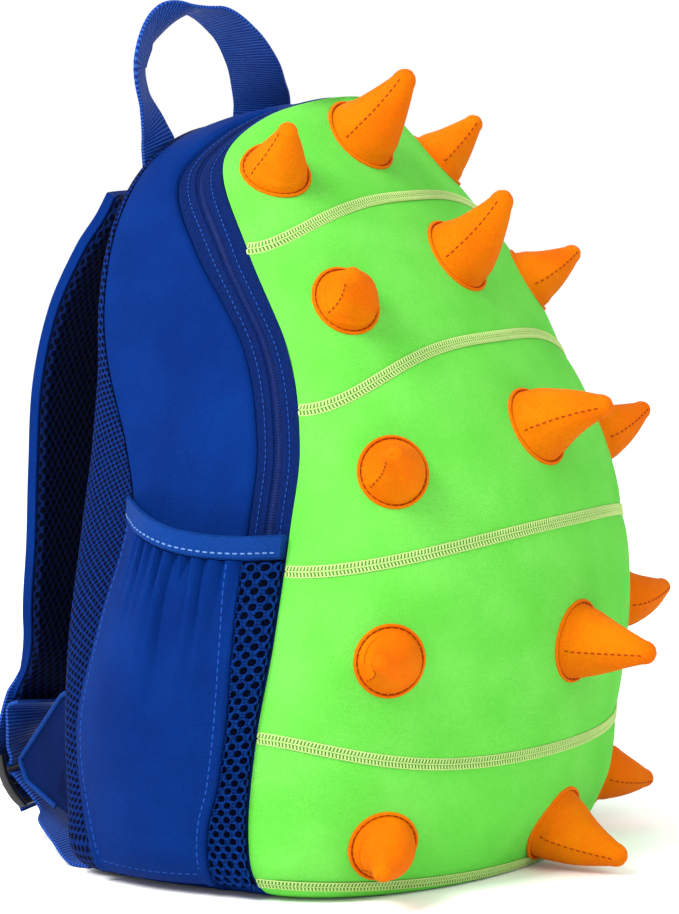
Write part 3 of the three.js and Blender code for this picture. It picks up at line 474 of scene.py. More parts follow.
def section(columns, thickness, corner):
    """A closed loop round a cloth's section: share across, millimetres in, and depth."""
    inner = [(k / columns, 0, 0) for k in range(1, columns)]
    near = [(0, 0, thickness - corner), (0, 0, corner), (0, 0.3 * corner, 0.3 * corner),
            (0, corner, 0)]
    far = [(1, -i, d) for _, i, d in near[::-1]]
    under = [(1, -corner, thickness), *[(t, 0, thickness) for t, _, _ in inner[::-1]],
             (0, corner, thickness)]
    return np.array([*near, *inner, *far, *under]).T


def stitch_row(shape, line, outs, kind):
    """A row of stitches of one kind along a line of points, lifted off the surface."""
    stitch, space, radius, lift = STITCHES[kind]
    line, outs = np.asarray(line), np.asarray(outs)
    run = lengths(line)
    count = max(1, int(run[-1] / (stitch + space)))
    at = (np.arange(count) + 0.5) * run[-1] / count

    def place(where):
        p = np.stack([np.interp(where, run, c) for c in line.T], -1)
        n = unit(np.stack([np.interp(where, run, c) for c in outs.T], -1))
        return p + n * lift, n
    starts, normals = place(at - stitch / 2)
    ends, _ = place(at + stitch / 2)
    shape.slabs(starts, ends, normals, radius)


# Materials


LIGHT = 1.75            # what the lamps and the sky give together, so colours read as written
SHEEN_ROUGHNESS = 0.4
NEOPRENE_GRAIN = 0.12   # heights of the finest relief of each cloth
MESH_GRAIN = 0.5
WEBBING_GRAIN = 0.35
TWILL_GRAIN = 0.3
PLAIN_GRAIN = 0.06


def srgb(code):
    """A colour in Blender's linear values from one written as it looks in the studio's light."""
    parts = [((code >> shift) & 255) / 255 for shift in (16, 8, 0)]
    line = [p / 12.92 if p <= 0.04045 else ((p + 0.055) / 1.055) ** 2.4 for p in parts]
    return (*(value / LIGHT for value in line), 1)


class Finish:
    """One material, and short ways to add its nodes."""

    def __init__(self, name, roughness, sheen=0.0, specular=0.5):
        self.material = bpy.data.materials.new(name)
        self.material.use_nodes = True
        self.tree = self.material.node_tree
        self.shader = self.tree.nodes["Principled BSDF"]
        self.put("Roughness", roughness)
        self.put("Sheen Weight", sheen)
        self.put("Sheen Roughness", SHEEN_ROUGHNESS)
        self.put("Specular IOR Level", specular)
        flat = self.node("ShaderNodeUVMap")
        flat.uv_map = "cloth"
        split = self.node("ShaderNodeSeparateXYZ")
        self.tree.links.new(flat.outputs["UV"], split.inputs[0])
        self.u, self.v = split.outputs["X"], split.outputs["Y"]
        self.place = self.node("ShaderNodeTexCoord").outputs["Object"]

    def node(self, kind):
        return self.tree.nodes.new(kind)

    def feed(self, value, socket):
        if isinstance(value, bpy.types.NodeSocket):
            self.tree.links.new(value, socket)
        else:
            socket.default_value = value

    def put(self, name, value):
        self.feed(value, self.shader.inputs[name])

    def math(self, operation, a, b=0.0, c=0.0):
        node = self.node("ShaderNodeMath")
        node.operation = operation
        for value, socket in zip((a, b, c), node.inputs):
            self.feed(value, socket)
        return node.outputs[0]

    def times(self, a, b):
        return self.math("MULTIPLY", a, b)

    def plus(self, a, b):
        return self.math("ADD", a, b)

    def wave(self, position, pitch):
        """From 0 to 1 and back once each pitch."""
        turned = self.math("SINE", self.times(position, 2 * math.pi / pitch))
        return self.math("MULTIPLY_ADD", turned, 0.5, 0.5)

    def steps(self, value, low, high):
        node = self.node("ShaderNodeMapRange")
        node.interpolation_type = "SMOOTHSTEP"
        for number, given in enumerate((value, low, high)):
            self.feed(given, node.inputs[number])
        return node.outputs[0]

    def noise(self, size, detail=2.0):
        """Soft noise whose spots are about the given millimetres across."""
        node = self.node("ShaderNodeTexNoise")
        self.feed(self.place, node.inputs["Vector"])
        node.inputs["Scale"].default_value = 1000 / size
        node.inputs["Detail"].default_value = detail
        return node.outputs[0]

    def blend(self, share, dark, light):
        node = self.node("ShaderNodeMix")
        node.data_type = "RGBA"
        for value, name in ((share, "Factor"), (dark, "A"), (light, "B")):
            self.feed(value, next(s for s in node.inputs
                                  if s.name == name and s.type in ("RGBA", "VALUE") and s.enabled))
        return next(s for s in node.outputs if s.type == "RGBA")

    def raise_by(self, height, millimetres):
        node = self.node("ShaderNodeBump")
        node.inputs["Strength"].default_value = 1.0
        node.inputs["Distance"].default_value = millimetres / 1000
        self.feed(height, node.inputs["Height"])
        self.put("Normal", node.outputs[0])

    def holes(self, wide, tall, radius, stretch):
        """0 inside the holes of a honeycomb net and 1 on its threads."""
        nearest = None
        for shift in (0.0, 0.5):
            parts = []
            for position, pitch, scale in ((self.u, wide, 1.0), (self.v, tall, stretch)):
                cell = self.math("FRACT", self.plus(self.times(position, 1 / pitch), shift))
                parts.append(self.times(self.math("SUBTRACT", cell, 0.5), pitch / scale))
            square = self.plus(self.times(parts[0], parts[0]), self.times(parts[1], parts[1]))
            far = self.math("SQRT", square)
            nearest = far if nearest is None else self.math("MINIMUM", nearest, far)
        return self.steps(nearest, radius * 0.75, radius * 1.15)


def neoprene(name, dark, light, sheen):
    """Knit jersey on foam: a very fine rib, soft blotches of tone and a dull sheen."""
    f = Finish(name, 0.75, sheen=sheen, specular=0.04)
    f.put("Sheen Tint", srgb(light))
    rib = f.wave(f.plus(f.u, f.times(f.v, 0.5)), 0.9)
    cross = f.wave(f.v, 0.8)
    fine = f.plus(f.times(rib, cross), f.times(f.noise(0.9, 1.0), 0.8))
    tone = f.plus(f.times(f.noise(28), 0.7), f.times(f.noise(1.6), 0.3))
    f.put("Base Color", f.blend(f.steps(tone, 0.3, 0.75), srgb(dark), srgb(light)))
    f.raise_by(fine, NEOPRENE_GRAIN)
    return f.material


def mesh_cloth(name, thread, hole, wide, tall, radius, stretch):
    """Spacer mesh: raised threads round dark holes."""
    f = Finish(name, 0.8, specular=0.04)
    net = f.holes(wide, tall, radius, stretch)
    strand = f.times(f.wave(f.plus(f.u, f.v), 0.55), 0.35)
    tone = f.times(net, f.plus(f.times(f.noise(2.0), 0.6), 0.5))
    f.put("Base Color", f.blend(tone, srgb(hole), srgb(thread)))
    f.raise_by(f.plus(net, f.times(net, strand)), MESH_GRAIN)
    return f.material


def webbing(name, dark, light, rib=1.5):
    """Woven tape: ribs across it and a plain weave between its edges."""
    f = Finish(name, 0.6, specular=0.08)
    over = f.wave(f.v, rib)
    yarn = f.wave(f.plus(f.u, f.times(f.v, 0.5)), 1.0)
    weave = f.plus(f.times(over, 0.65), f.times(yarn, 0.35))
    tone = f.times(weave, f.plus(f.times(f.noise(1.2), 0.7), 0.6))
    f.put("Base Color", f.blend(f.steps(tone, 0.25, 0.95), srgb(dark), srgb(light)))
    f.raise_by(weave, WEBBING_GRAIN)
    return f.material


def twill(name, dark, light):
    """The zip's tape: a fine slanting weave flecked with lighter yarn."""
    f = Finish(name, 0.65, specular=0.06)
    slant = f.wave(f.plus(f.u, f.v), 1.1)
    other = f.wave(f.math("SUBTRACT", f.u, f.times(f.v, 1.6)), 0.9)
    weave = f.plus(f.times(slant, 0.6), f.times(other, 0.4))
    tone = f.times(weave, f.plus(f.times(f.noise(0.8, 3.0), 1.4), 0.1))
    f.put("Base Color", f.blend(f.steps(tone, 0.2, 0.75), srgb(dark), srgb(light)))
    f.raise_by(weave, TWILL_GRAIN)
    return f.material


def plain(name, dark, light, roughness, metallic=0.0, specular=0.5):
    """Thread, plastic or metal with a little unevenness."""
    f = Finish(name, roughness, specular=specular)
    tone = f.noise(3.0, 3.0)
    f.put("Base Color", f.blend(tone, srgb(dark), srgb(light)))
    f.put("Metallic", metallic)
    f.raise_by(f.noise(0.7), PLAIN_GRAIN)
    return f.material


GREEN = neoprene("green_neoprene", 0x6EE64D, 0x80F15F, 0.03)
ORANGE = neoprene("orange_neoprene", 0xFF7200, 0xFF8C00, 0.02)
BLUE = neoprene("blue_neoprene", 0x002A78, 0x003488, 0.01)
# the wing's blue neoprene, painted darker as the shade the wing sits in
SHADE_PAINTED_BLUE = neoprene("shade_painted_blue", 0x00164A, 0x001E5C, 0.01)
SEAM_BASE = plain("seam_base", 0x3C8A2C, 0x55A63E, 0.9, specular=0.1)
SEAM_THREAD = plain("seam_thread", 0xC4EE84, 0xDCF8A0, 0.7, specular=0.15)
ORANGE_THREAD = plain("orange_thread", 0xA83400, 0xB84400, 0.7, specular=0.1)
BLUE_THREAD = plain("blue_thread", 0x1450B4, 0x205CC0, 0.7, specular=0.1)
PALE_THREAD = plain("pale_thread", 0x5C8AD2, 0x80A6E4, 0.7, specular=0.1)
BINDING = webbing("blue_binding", 0x003A94, 0x0450AC, 0.7)
WEB = webbing("blue_webbing", 0x00309A, 0x3A78DE)
TAPE = twill("zip_tape", 0x001650, 0x063488)
COIL = plain("zip_coil", 0x00144A, 0x052A78, 0.5, specular=0.15)
METAL = plain("zip_metal", 0x2A4F9E, 0x3A60B0, 0.35, 0.6)
NAVY_MESH = mesh_cloth("navy_mesh", 0x123C98, 0x010824, 3.0, 3.4, 0.75, 1.35)
# the strap's coarse padded mesh: its own dark blue, painted darker still as the shade under the
# strap
PAD_MESH_IN_SHADE = mesh_cloth("pad_mesh_in_shade", 0x0A2668, 0x010416, 4.4, 5.6, 1.2, 1.3)
NET = mesh_cloth("pocket_net", 0x0E46A6, 0x032062, 1.2, 1.2, 0.2, 1.0)
# a near-black sheet behind the side net, painted as the shade in the hollow behind it
NET_BACK_SHADE = mesh_cloth("net_shade_backing", 0x021444, 0x010410, 2.4, 2.8, 0.7, 1.2)
BLACK = plain("black_plastic", 0x101013, 0x17171B, 0.32)

# The green front

FRONT_COLUMNS = 150
PANEL_ROWS = 40
PUFF = 1.1              # how far each panel swells between its seams
GROOVE = 0.7            # how far the cloth dips at a seam
SEAM_WIDTH = 4.6
SEAM_LOOP = 1.45        # pitch of the loops along a flat seam
SEAM_STEPS = 700
SEAM_END = 0.012        # how far from the rim a seam stops, as an angle
SEAM_PROFILE = table("across rise", (-1, -1.5), (-1, 0), (-0.8, 0.22), (0, 0.3), (0.8, 0.22),
                     (1, 0), (1, -1.5))
LOOP_ROWS = table("low high slant", (0.12, 0.98, 0.35), (-0.98, -0.12, -0.35))
LOOP_RADIUS = 0.42
EDGE_THREAD_RADIUS = 0.3
SHELL_CORNER = 1.4
PUFF_RUN = 7            # how far from a seam the cloth takes to swell
UNDERSIDE = table("up inset", (0, 1.2), (0.15, 0.3), (0.4, 0), (0.7, 0), (1, 0.2))

angles = np.linspace(-np.pi / 2, np.pi / 2, FRONT_COLUMNS + 1)


def seam_z(n, across):
    edge, rise, power = (SEAMS[key][n] for key in ("edge", "rise", "power"))
    return BAG_HEIGHT * (edge + rise * (1 - np.abs(across) ** power))


def make_front():
    across = np.sin(angles)[:, None]
    for n in range(len(SEAMS["edge"])):
        low = seam_z(n, across) + GAP / 2
        high = BAG_HEIGHT if n == 0 else seam_z(n - 1, across) - GAP / 2
        share, inward, depth = section(PANEL_ROWS, SHELL_WALL, SHELL_CORNER)
        if n == 0:
            share = np.sin(share * np.pi / 2)
            inward = np.where(share > 0.5, 0, inward)
        z = mix(low, high, share[None]) + inward[None]
        skin = dome_point(np.broadcast_to(across, z.shape), z)
        normal = dome_normal(skin)
        from_seam = z - low if n == 0 else np.minimum(z - low, high - z)
        edge = 1 - np.abs(across)
        puff = (PUFF + GROOVE) * (1 - np.exp(-np.maximum(from_seam, 0) / PUFF_RUN)) - GROOVE
        puff = puff * smooth_step(edge, 0, 0.02) * (1 if n else smooth_step(BAG_HEIGHT - z, 0, 12))
        outer = depth[None] < SHELL_WALL / 2
        proud = np.where(outer, puff, 0) - depth[None]
        shape = Shape()
        shape.tube(skin + normal * proud[..., None])
        panel = shape.make(f"front_panel_{n + 1}", GREEN,
                           [f"shell_panel_{n + 1}"])
    make_underside()
    make_flat_seams()


def make_underside():
    across = np.sin(angles)
    last = len(SEAMS["edge"]) - 1
    top = seam_z(last, across) - GAP / 2
    back = green_y(0)
    rows = []
    for t, inset in zip(UNDERSIDE["up"], UNDERSIDE["inset"]):
        p = dome_point(across, np.maximum(top * t, 0))
        rows.append(p - dome_normal(p) * inset)
    head = rows[-1].copy()
    head[:, 1] = np.maximum(back, head[:, 1])
    foot = rows[0].copy()
    foot[:, 1] = back
    rings = np.stack([*rows, head, foot], 1)
    shape = Shape()
    shape.tube(rings)
    under = shape.make("front_underside", GREEN, ["shell_underside"])


def seam_frame(n):
    """The line of a seam over the front, its outward and its upward direction."""
    bend = np.linspace(-1, 1, SEAM_STEPS) * (np.pi / 2 - SEAM_END)
    across = np.sin(bend)
    line = dome_point(across, seam_z(n, across))
    line = spaced(line, SEAM_STEPS)[0]
    out = dome_normal(line)
    run = unit(np.gradient(line, axis=0))
    up = unit(np.cross(run, out))
    up *= np.sign(up[:, 2:])
    return line, out, up


def make_flat_seams():
    """Flat-locked seams: a raised band with two rows of slanted loops over dark holes."""
    for n in range(len(SEAMS["edge"])):
        line, out, up = seam_frame(n)
        half = SEAM_WIDTH / 2
        rows = zip(SEAM_PROFILE["across"], SEAM_PROFILE["rise"])
        band = Shape()
        band.tube(np.stack([line + up * (a * half) + out * rise for a, rise in rows], 1))
        band.make(f"seam_band_{n + 1}", SEAM_BASE)
        count = int(lengths(line)[-1] / SEAM_LOOP)
        centre, normal, rise = spaced(line, count, out, up)
        run = unit(np.gradient(centre, axis=0))
        loops = Shape()
        for low, high, slant in zip(*LOOP_ROWS.values()):
            start = centre + rise * low * half - run * slant * SEAM_LOOP / 2
            end = centre + rise * high * half + run * slant * SEAM_LOOP / 2
            loops.slabs(start + normal * 0.32, end + normal * 0.22, normal, LOOP_RADIUS)
        for side in (-1, 0, 1):
            thread = centre + rise * side * 0.96 * half + normal * (0.3 if side == 0 else 0.1)
            loops.slabs(thread[:-1], thread[1:], normal[:-1], EDGE_THREAD_RADIUS)
        loops.make(f"seam_loops_{n + 1}", SEAM_THREAD)


# The spikes

SPIKE_RING = 56
SPIKE_STEPS = 34
TIP_START = 0.86
DOME_SEARCH = 30.0      # how far either way the front's face is looked for
DOME_HALVINGS = 30
SPIKE_BEND = 0.45       # where a spike's bend lies, as a share of its length
RIDGE_RISE = 0.05       # shares of the radius, and angles from the seam
RIDGE_WIDTH = 0.14
HOLLOW_DEPTH = 0.035
HOLLOW_AT = 0.62
HOLLOW_WIDTH = 0.36
UNEVEN = 0.012


def onto_dome(p, direction):
    """The point of the front's face in line with each point, a little outside it."""
    low, high = np.full(len(p), -DOME_SEARCH), np.full(len(p), DOME_SEARCH)
    for _ in range(DOME_HALVINGS):
        t = (low + high) / 2
        beyond = p + direction * t[:, None]
        outside = dome_level(beyond, beyond[:, 2]) > 1
        high, low = np.where(outside, t, high), np.where(outside, low, t)
    return p + direction * (low + GAP)[:, None]


profile_wide = curve(SPIKE_PROFILE, "along", "wide")


def spike_width(t):
    tip = np.sqrt(np.maximum(0, 1 - (np.maximum(t - TIP_START, 0) / (1 - TIP_START)) ** 2))
    return np.where(t < TIP_START, profile_wide(t), SPIKE_PROFILE["wide"][-1] * tip)


def bezier(a, b, c, t):
    t = np.asarray(t)[..., None]
    return (1 - t) ** 2 * a + 2 * t * (1 - t) * b + t**2 * c


def make_spike(name, across, z, yaw, pitch, radius, length, facing, stitches):
    foot = dome_point(across, z)
    out = dome_normal(foot[None])[0]
    aim = np.array(heading(yaw, pitch))
    tip = foot + aim * length
    bend = foot + out * length * SPIKE_BEND
    neck = radius - FLANGE_WIDTH
    angle = ring_angles(SPIKE_RING)
    side = unit(facing - out * (facing @ out))

    def frame_at(axis):
        u = unit(side - axis * (side @ axis))
        return u, np.cross(axis, u)

    def seated(r, height):
        u, w = frame_at(out)
        p = foot + r * (np.cos(angle)[:, None] * u + np.sin(angle)[:, None] * w)
        return onto_dome(p, out) + out * height

    base = [seated(r, h) for r, h in (
        (radius * 0.5, 0.0), (radius - 0.5, 0.0), (radius, 0.5), (radius, 1.0),
        (radius - 0.5, FLANGE_THICKNESS), (neck + 1.2, FLANGE_THICKNESS),
        (neck + 0.7, 0.7), (neck + 0.3, 1.1), (neck + 0.05, FLANGE_THICKNESS + 0.8))]
    # the side that faces the seam is drawn to a low ridge, with flatter cloth beside it
    turned = np.minimum(angle, 2 * np.pi - angle)
    hollow = HOLLOW_DEPTH * bump(turned, HOLLOW_AT, HOLLOW_WIDTH)
    ridge = RIDGE_RISE * bump(turned, 0, RIDGE_WIDTH) - hollow
    rings = []
    seam = []
    for t in np.linspace(0.05, 0.995, SPIKE_STEPS):
        axis = unit(2 * (1 - t) * (bend - foot) + 2 * t * (tip - bend))
        centre = bezier(foot, bend, tip, t)
        u, w = frame_at(axis)
        uneven = UNEVEN * np.sin(3 * angle + 9 * t)
        r = neck * spike_width(t) * (1 + ridge * (1 - 0.5 * t) + uneven)
        ring = centre + r[:, None] * (np.cos(angle)[:, None] * u + np.sin(angle)[:, None] * w)
        held = smooth_step(t, 0.03, 0.3)
        if held < 1:
            ring = mix(seated(neck * spike_width(t), FLANGE_THICKNESS + 0.8 + length * (t - 0.03)),
                       ring, held)
        rings.append(ring)
        seam.append((ring[0], unit(ring[0] - centre)))
    shape = Shape()
    shape.tube(np.stack([*base, *rings]))
    cone = shape.make(f"{name}_cone", ORANGE, [name], crease=60)
    lines, outs = zip(*seam[:-3])
    stitch_row(stitches, np.array(lines), np.array(outs), "spike_seam")
    ring = looped(seated(neck + 0.75, 0.95), 0)
    stitch_row(stitches, ring, np.broadcast_to(out, ring.shape), "flange")


def make_spikes():
    stitches = Shape()
    left_side = np.array([-0.35, 0.75, -0.55])
    right_side = np.array([-0.75, -0.6, -0.1])
    middle_side = np.array([-1.0, 0.0, -0.12])
    for n, up in enumerate(SPIKES["up"]):
        row = {key: column[n] for key, column in SPIKES.items()}
        yaw, pitch = math.radians(row["yaw"]), math.radians(row["pitch"])
        z = up * BAG_HEIGHT
        make_spike(f"spike_{n + 1}_left", -row["out"], z, -yaw, pitch, SIDE_SPIKE_RADIUS,
                   SIDE_SPIKE_LENGTH, left_side, stitches)
        make_spike(f"spike_{n + 1}_right", row["out"], z, yaw, pitch, SIDE_SPIKE_RADIUS,
                   SIDE_SPIKE_LENGTH, right_side, stitches)
        make_spike(f"spike_{n + 1}_middle", row["middle_out"], row["middle_up"] * BAG_HEIGHT, 0.0,
                   math.radians(row["middle_pitch"]), MIDDLE_SPIKE_RADIUS, MIDDLE_SPIKE_LENGTH,
                   middle_side, stitches)
    stitches.make("spike_stitches", ORANGE_THREAD)


# The blue body

ZIP_END_SHARE = float(share_at(POCKET_HEIGHT - BINDING_HEIGHT - 2))
ROUND_STEPS = 440
GUSSET_COLUMNS = 28
GUSSET_CORNER = 1.2
BORDER_STEPS = 140
BORDER_COLUMNS = 8
BORDER_CORNER = 0.8
FINE_STEPS = 2000
TOOTH_PITCH = 1.15
TOOTH_RADIUS = 0.42
TAPE_CORNER = 0.4
TAPE_COLUMNS = 16
ZIP_STITCH_SIDE = 4.0   # how far from the coil each tape's stitches run


def strip(name, s, from_y, to_y, proud, thickness, corner, columns, finish, replaces,
          relief=None):
    """A cloth strip round the side, between two lines, as far out as proud and relief say."""
    share = (1 - np.abs(s))[:, None]
    t, inward, depth = section(columns, thickness, corner)
    start, end = from_y(share), to_y(share)
    y = mix(start, end, t[None]) + inward[None] * np.sign(end - start)
    height = proud(share, y) - depth[None]
    if relief is not None:
        height = height + np.where(depth[None] < thickness / 2, relief(share, t[None], y), 0)
    shape = Shape()
    grid = side_point(np.broadcast_to(s[:, None], y.shape), y, height)
    shape.tube(grid)
    piece = shape.make(name, finish, replaces)


def make_gusset():
    def edge_roll(share, t, y):
        """The cloth rolls a little where it folds down to the zip, but not at the floor."""
        above = np.clip(share * OUTLINE_LENGTH / CORNER_RADIUS, 0, 1)
        past = y - zip_y(share)
        return above * (0.8 * bump(past, 4.0, 3.0) - 0.5 * bump(past, 0.0, 1.6))
    strip("side_body", np.linspace(-1, 1, ROUND_STEPS), seam_y, lambda q: zip_y(q) + GAP,
          gusset_proud, NEOPRENE_WALL, GUSSET_CORNER, GUSSET_COLUMNS, BLUE,
          ["gusset"], edge_roll)
    for name, side in (("left", -1), ("right", 1)):
        s = side * (1 - np.linspace(0, ZIP_END_SHARE - GAP / OUTLINE_LENGTH, BORDER_STEPS))
        strip(f"front_border_{name}", s, zip_y, lambda q: green_y(q) + EDGE_GAP,
              lambda q, y: 0 * y, NEOPRENE_WALL, BORDER_CORNER, BORDER_COLUMNS, BLUE,
              [f"front_strip_{name}"])


def make_zip():
    s = np.linspace(ZIP_END_SHARE - 1, 1 - ZIP_END_SHARE, ROUND_STEPS)

    def low(share, y):
        return 0 * y - 0.6

    def outer_relief(share, t, y):
        """A flat guard fold beside the coil."""
        return 0.5 * smooth_step(t, 0.55, 0.7) - 0.6 * smooth_step(t, 0.9, 1.0)

    def inner_relief(share, t, y):
        """The like fold on the coil's other side."""
        return 0.5 * (1 - smooth_step(t, 0.3, 0.45)) - 0.6 * (1 - smooth_step(t, 0.0, 0.1))
    strip("zip_tape_back", s, zip_y, lambda q: coil_y(q) + COIL_WIDTH / 2, low, TAPE_WALL,
          TAPE_CORNER, TAPE_COLUMNS, TAPE, ["zip_tape_outer"], outer_relief)
    strip("zip_tape_front", s, lambda q: coil_y(q) - COIL_WIDTH / 2,
          lambda q: green_y(q) + EDGE_GAP, low, TAPE_WALL, TAPE_CORNER, TAPE_COLUMNS, TAPE,
          ["zip_tape_inner"], inner_relief)
    strip("zip_core", s, lambda q: coil_y(q) + COIL_WIDTH / 2, lambda q: coil_y(q) - COIL_WIDTH / 2,
          lambda q, y: 0 * y - 0.9, 1.6, 0.3, 4, COIL, ["zip_coil"])
    fine = np.linspace(ZIP_END_SHARE - 1, 1 - ZIP_END_SHARE, FINE_STEPS)
    share = 1 - np.abs(fine)
    middle = side_point(fine, coil_y(share), -0.9 + 0 * fine)
    out = unit(side_point(fine, coil_y(share), 0 * fine) - middle)
    count = int(lengths(middle)[-1] / TOOTH_PITCH)
    centre, normal = spaced(middle, count, out)
    run = unit(np.gradient(centre, axis=0))
    wide = unit(np.cross(run, normal))
    teeth = Shape()
    for side in (-1, 1):
        start = centre + wide * side * 0.25 + normal * 0.05
        end = centre + wide * side * 1.55 + normal * 0.15
        teeth.slabs(start, end, normal, TOOTH_RADIUS)
    teeth.make("zip_teeth", TAPE)
    edge = Shape()
    for side in (1, -1):
        y = coil_y(share) + side * COIL_WIDTH / 2 + side * ZIP_STITCH_SIDE
        line = side_point(fine, y, 0 * fine - 0.1)
        stitch_row(edge, line, out, "zip")
    edge.make("zip_stitches", BLUE_THREAD)
    make_slider()


SLIDER_HALF = SLIDER_WIDTH / 2
SLIDER_PLACE = 0.1      # how far past the zip's end it waits, as a share of the outline
SLIDER_LIFT = 0.2
SLIDER_BODY = table("rise half low high", (0, 0.7 * SLIDER_HALF, 0.2, 1.4),
                    (0.8, 0.9 * SLIDER_HALF, 0, 2.2), (4, 0.8 * SLIDER_HALF, 0, 2.4),
                    (7.4, SLIDER_HALF, 0, 2.2), (SLIDER_LENGTH, 0.8 * SLIDER_HALF, 0.2, 1.4))
SLIDER_BRIDGE = table("rise half low high", (1.5, 0.8, 2.0, 3.0), (2.5, 1.0, 2.2, 3.8),
                      (6, 1.0, 2.2, 3.8), (7, 0.8, 2.0, 3.0))
SLIDER_PULL = table("rise half low high", (-16, 1.2, 1.0, 1.8), (-15, 2.4, 0.8, 2.0),
                    (-8, 2.4, 0.9, 2.1), (-2, 1.7, 1.8, 3.0), (4, 1.6, 2.7, 3.6))


def make_slider():
    """The slider waits low on the right, its pull hanging down."""
    share = ZIP_END_SHARE + SLIDER_PLACE
    step = 0.02
    seat = side_point(1 - share, coil_y(share), SLIDER_LIFT)
    ahead = side_point(1 - share - step, coil_y(share + step), SLIDER_LIFT)
    up = unit(ahead - seat)
    across = np.array([0, 1.0, 0])
    across = unit(across - up * (across @ up))
    out = unit(np.cross(up, across))
    out *= np.sign(out[0])

    def block(rows):
        """A rounded form through rows of rise, half width, floor and top."""
        x_share, h_share = rounded_ring(2, 1, 12, 0.5)
        rings = []
        for rise, half, low, high in zip(*rows.values()):
            x = half * x_share
            h = mix(low, high, 0.5 + h_share)
            rings.append(seat + up * rise + x[:, None] * across + h[:, None] * out)
        return np.stack(rings)
    shape = Shape()
    for part in (SLIDER_BODY, SLIDER_BRIDGE, SLIDER_PULL):
        shape.tube(block(part))
    shape.make("zip_pull", METAL, ["zip_slider"])


BACK_INSET = table("inset y", (0.0, 0.0), (0.3, 0.45), (1.2, 0.75), (2.6, 0.92), (5.0, 1.0),
                   (9.0, 1.0))
BACK_RINGS = 26
BACK_CENTRE = 0.45
BORDER = 13.0           # the stitched border of the padded back


def back_outline(count):
    """The back's outline: round the arch, then across the floor."""
    s = np.linspace(-1, 1, count)
    round_x = side_point(s, seam_y(1 - np.abs(s)), 0)
    floor = np.linspace(1, -1, count // 4 + 2)[1:-1] * half_width(0.0)
    return s, round_x, floor


def make_back():
    s, arch, floor = back_outline(420)
    lip = seam_y(1 - np.abs(s)) + GAP
    floor_points = points(floor, seam_y(0) + GAP, 0)
    line = np.concatenate([points(arch[:, 0], lip, arch[:, 2]), floor_points])
    after, before = np.roll(line, -1, 0), np.roll(line, 1, 0)
    run = after - before
    inward = unit(points(run[:, 2], 0, -run[:, 0]))
    centre = np.array([0, BACK_Y, BAG_HEIGHT * BACK_CENTRE])
    flat = line.copy()

    def ring(inset, y):
        made = flat + inward * inset
        made[:, 1] = y
        return made
    rings = [ring(4 * NEOPRENE_WALL, BACK_Y - PAD_THICKNESS), ring(NEOPRENE_WALL + GAP, line[:, 1]),
             ring(0.2, line[:, 1])]
    for inset, share in zip(BACK_INSET["inset"], BACK_INSET["y"]):
        rings.append(ring(inset + 0.1, mix(line[:, 1] + 0.4, BACK_Y, share)))
    edge = rings[-1]
    reach = np.linalg.norm((edge - centre)[:, [0, 2]], axis=1)
    for t in np.linspace(0, 1, BACK_RINGS + 1)[1:-1]:
        made = mix(edge, centre, t)
        inside = 9 + reach * t
        dip = 1.6 * bump(inside, BORDER, 1.4)
        made[:, 1] = BACK_Y - dip + 0.5 * smooth_step(inside, BORDER + 2, BORDER + 20)
        rings.append(made)
    shape = Shape()
    grid = np.stack(rings)
    numbers = looped(shape.add(grid))
    cloth = back_cloth(looped(grid))
    shape.quads(numbers, cloth)
    for row, step, hub in ((-1, 1, centre), (0, -1, centre - [0, PAD_THICKNESS, 0])):
        middle = shape.add(hub[None])[0]
        for k in range(len(line)):
            pair = [k, k + 1][::step]
            shape.face([*numbers[row, pair], middle], [*cloth[row, pair], centre[[0, 2]]])
    back = shape.make("padded_back", NAVY_MESH, ["back_panel"])
    border = Shape()
    edge_line = mix(edge, centre, ((BORDER - 9) / reach)[:, None])
    edge_line[:, 1] = BACK_Y - 1.3
    edge_line = looped(edge_line, 0)
    stitch_row(border, edge_line, np.broadcast_to([0, 1.0, 0], edge_line.shape), "back")
    border.make("back_stitches", BLUE_THREAD)


def back_cloth(grid):
    """The flat mesh: as seen from behind, with the sides laid out past the edge."""
    flat = grid[..., [0, 2]].copy()
    run = np.cumsum(np.linalg.norm(np.diff(grid, axis=0), axis=-1), 0)
    run = np.concatenate([0 * run[:1], run])
    edge = len(BACK_INSET["inset"]) + 2
    away = flat[edge] - np.array([0, BAG_HEIGHT * BACK_CENTRE])
    away /= np.linalg.norm(away, axis=-1, keepdims=True)
    for i in range(edge):
        flat[i] = flat[edge] + away * (run[edge] - run[i])[:, None]
    return flat


def make_base():
    front = green_y(0) + EDGE_GAP
    back = seam_y(0) - GAP
    half = half_width(0.0) - GAP
    x = np.linspace(-half, half, 60)
    corner = 1.5
    loop = [(front, corner), (front + 0.4 * corner, 0.4 * corner), (front + corner, 0.0),
            *[(y, 0.0) for y in np.linspace(front + 4, back - 4, 24)],
            (back - corner, 0.0), (back - 0.4 * corner, 0.4 * corner), (back, corner),
            (back, BASE_THICKNESS), (front, BASE_THICKNESS)]
    rings = np.stack([points(x, y, z) for y, z in loop], 1)
    shape = Shape()
    shape.tube(rings)
    base = shape.make("base_cloth", BLUE, ["base_panel"])


# The side pockets

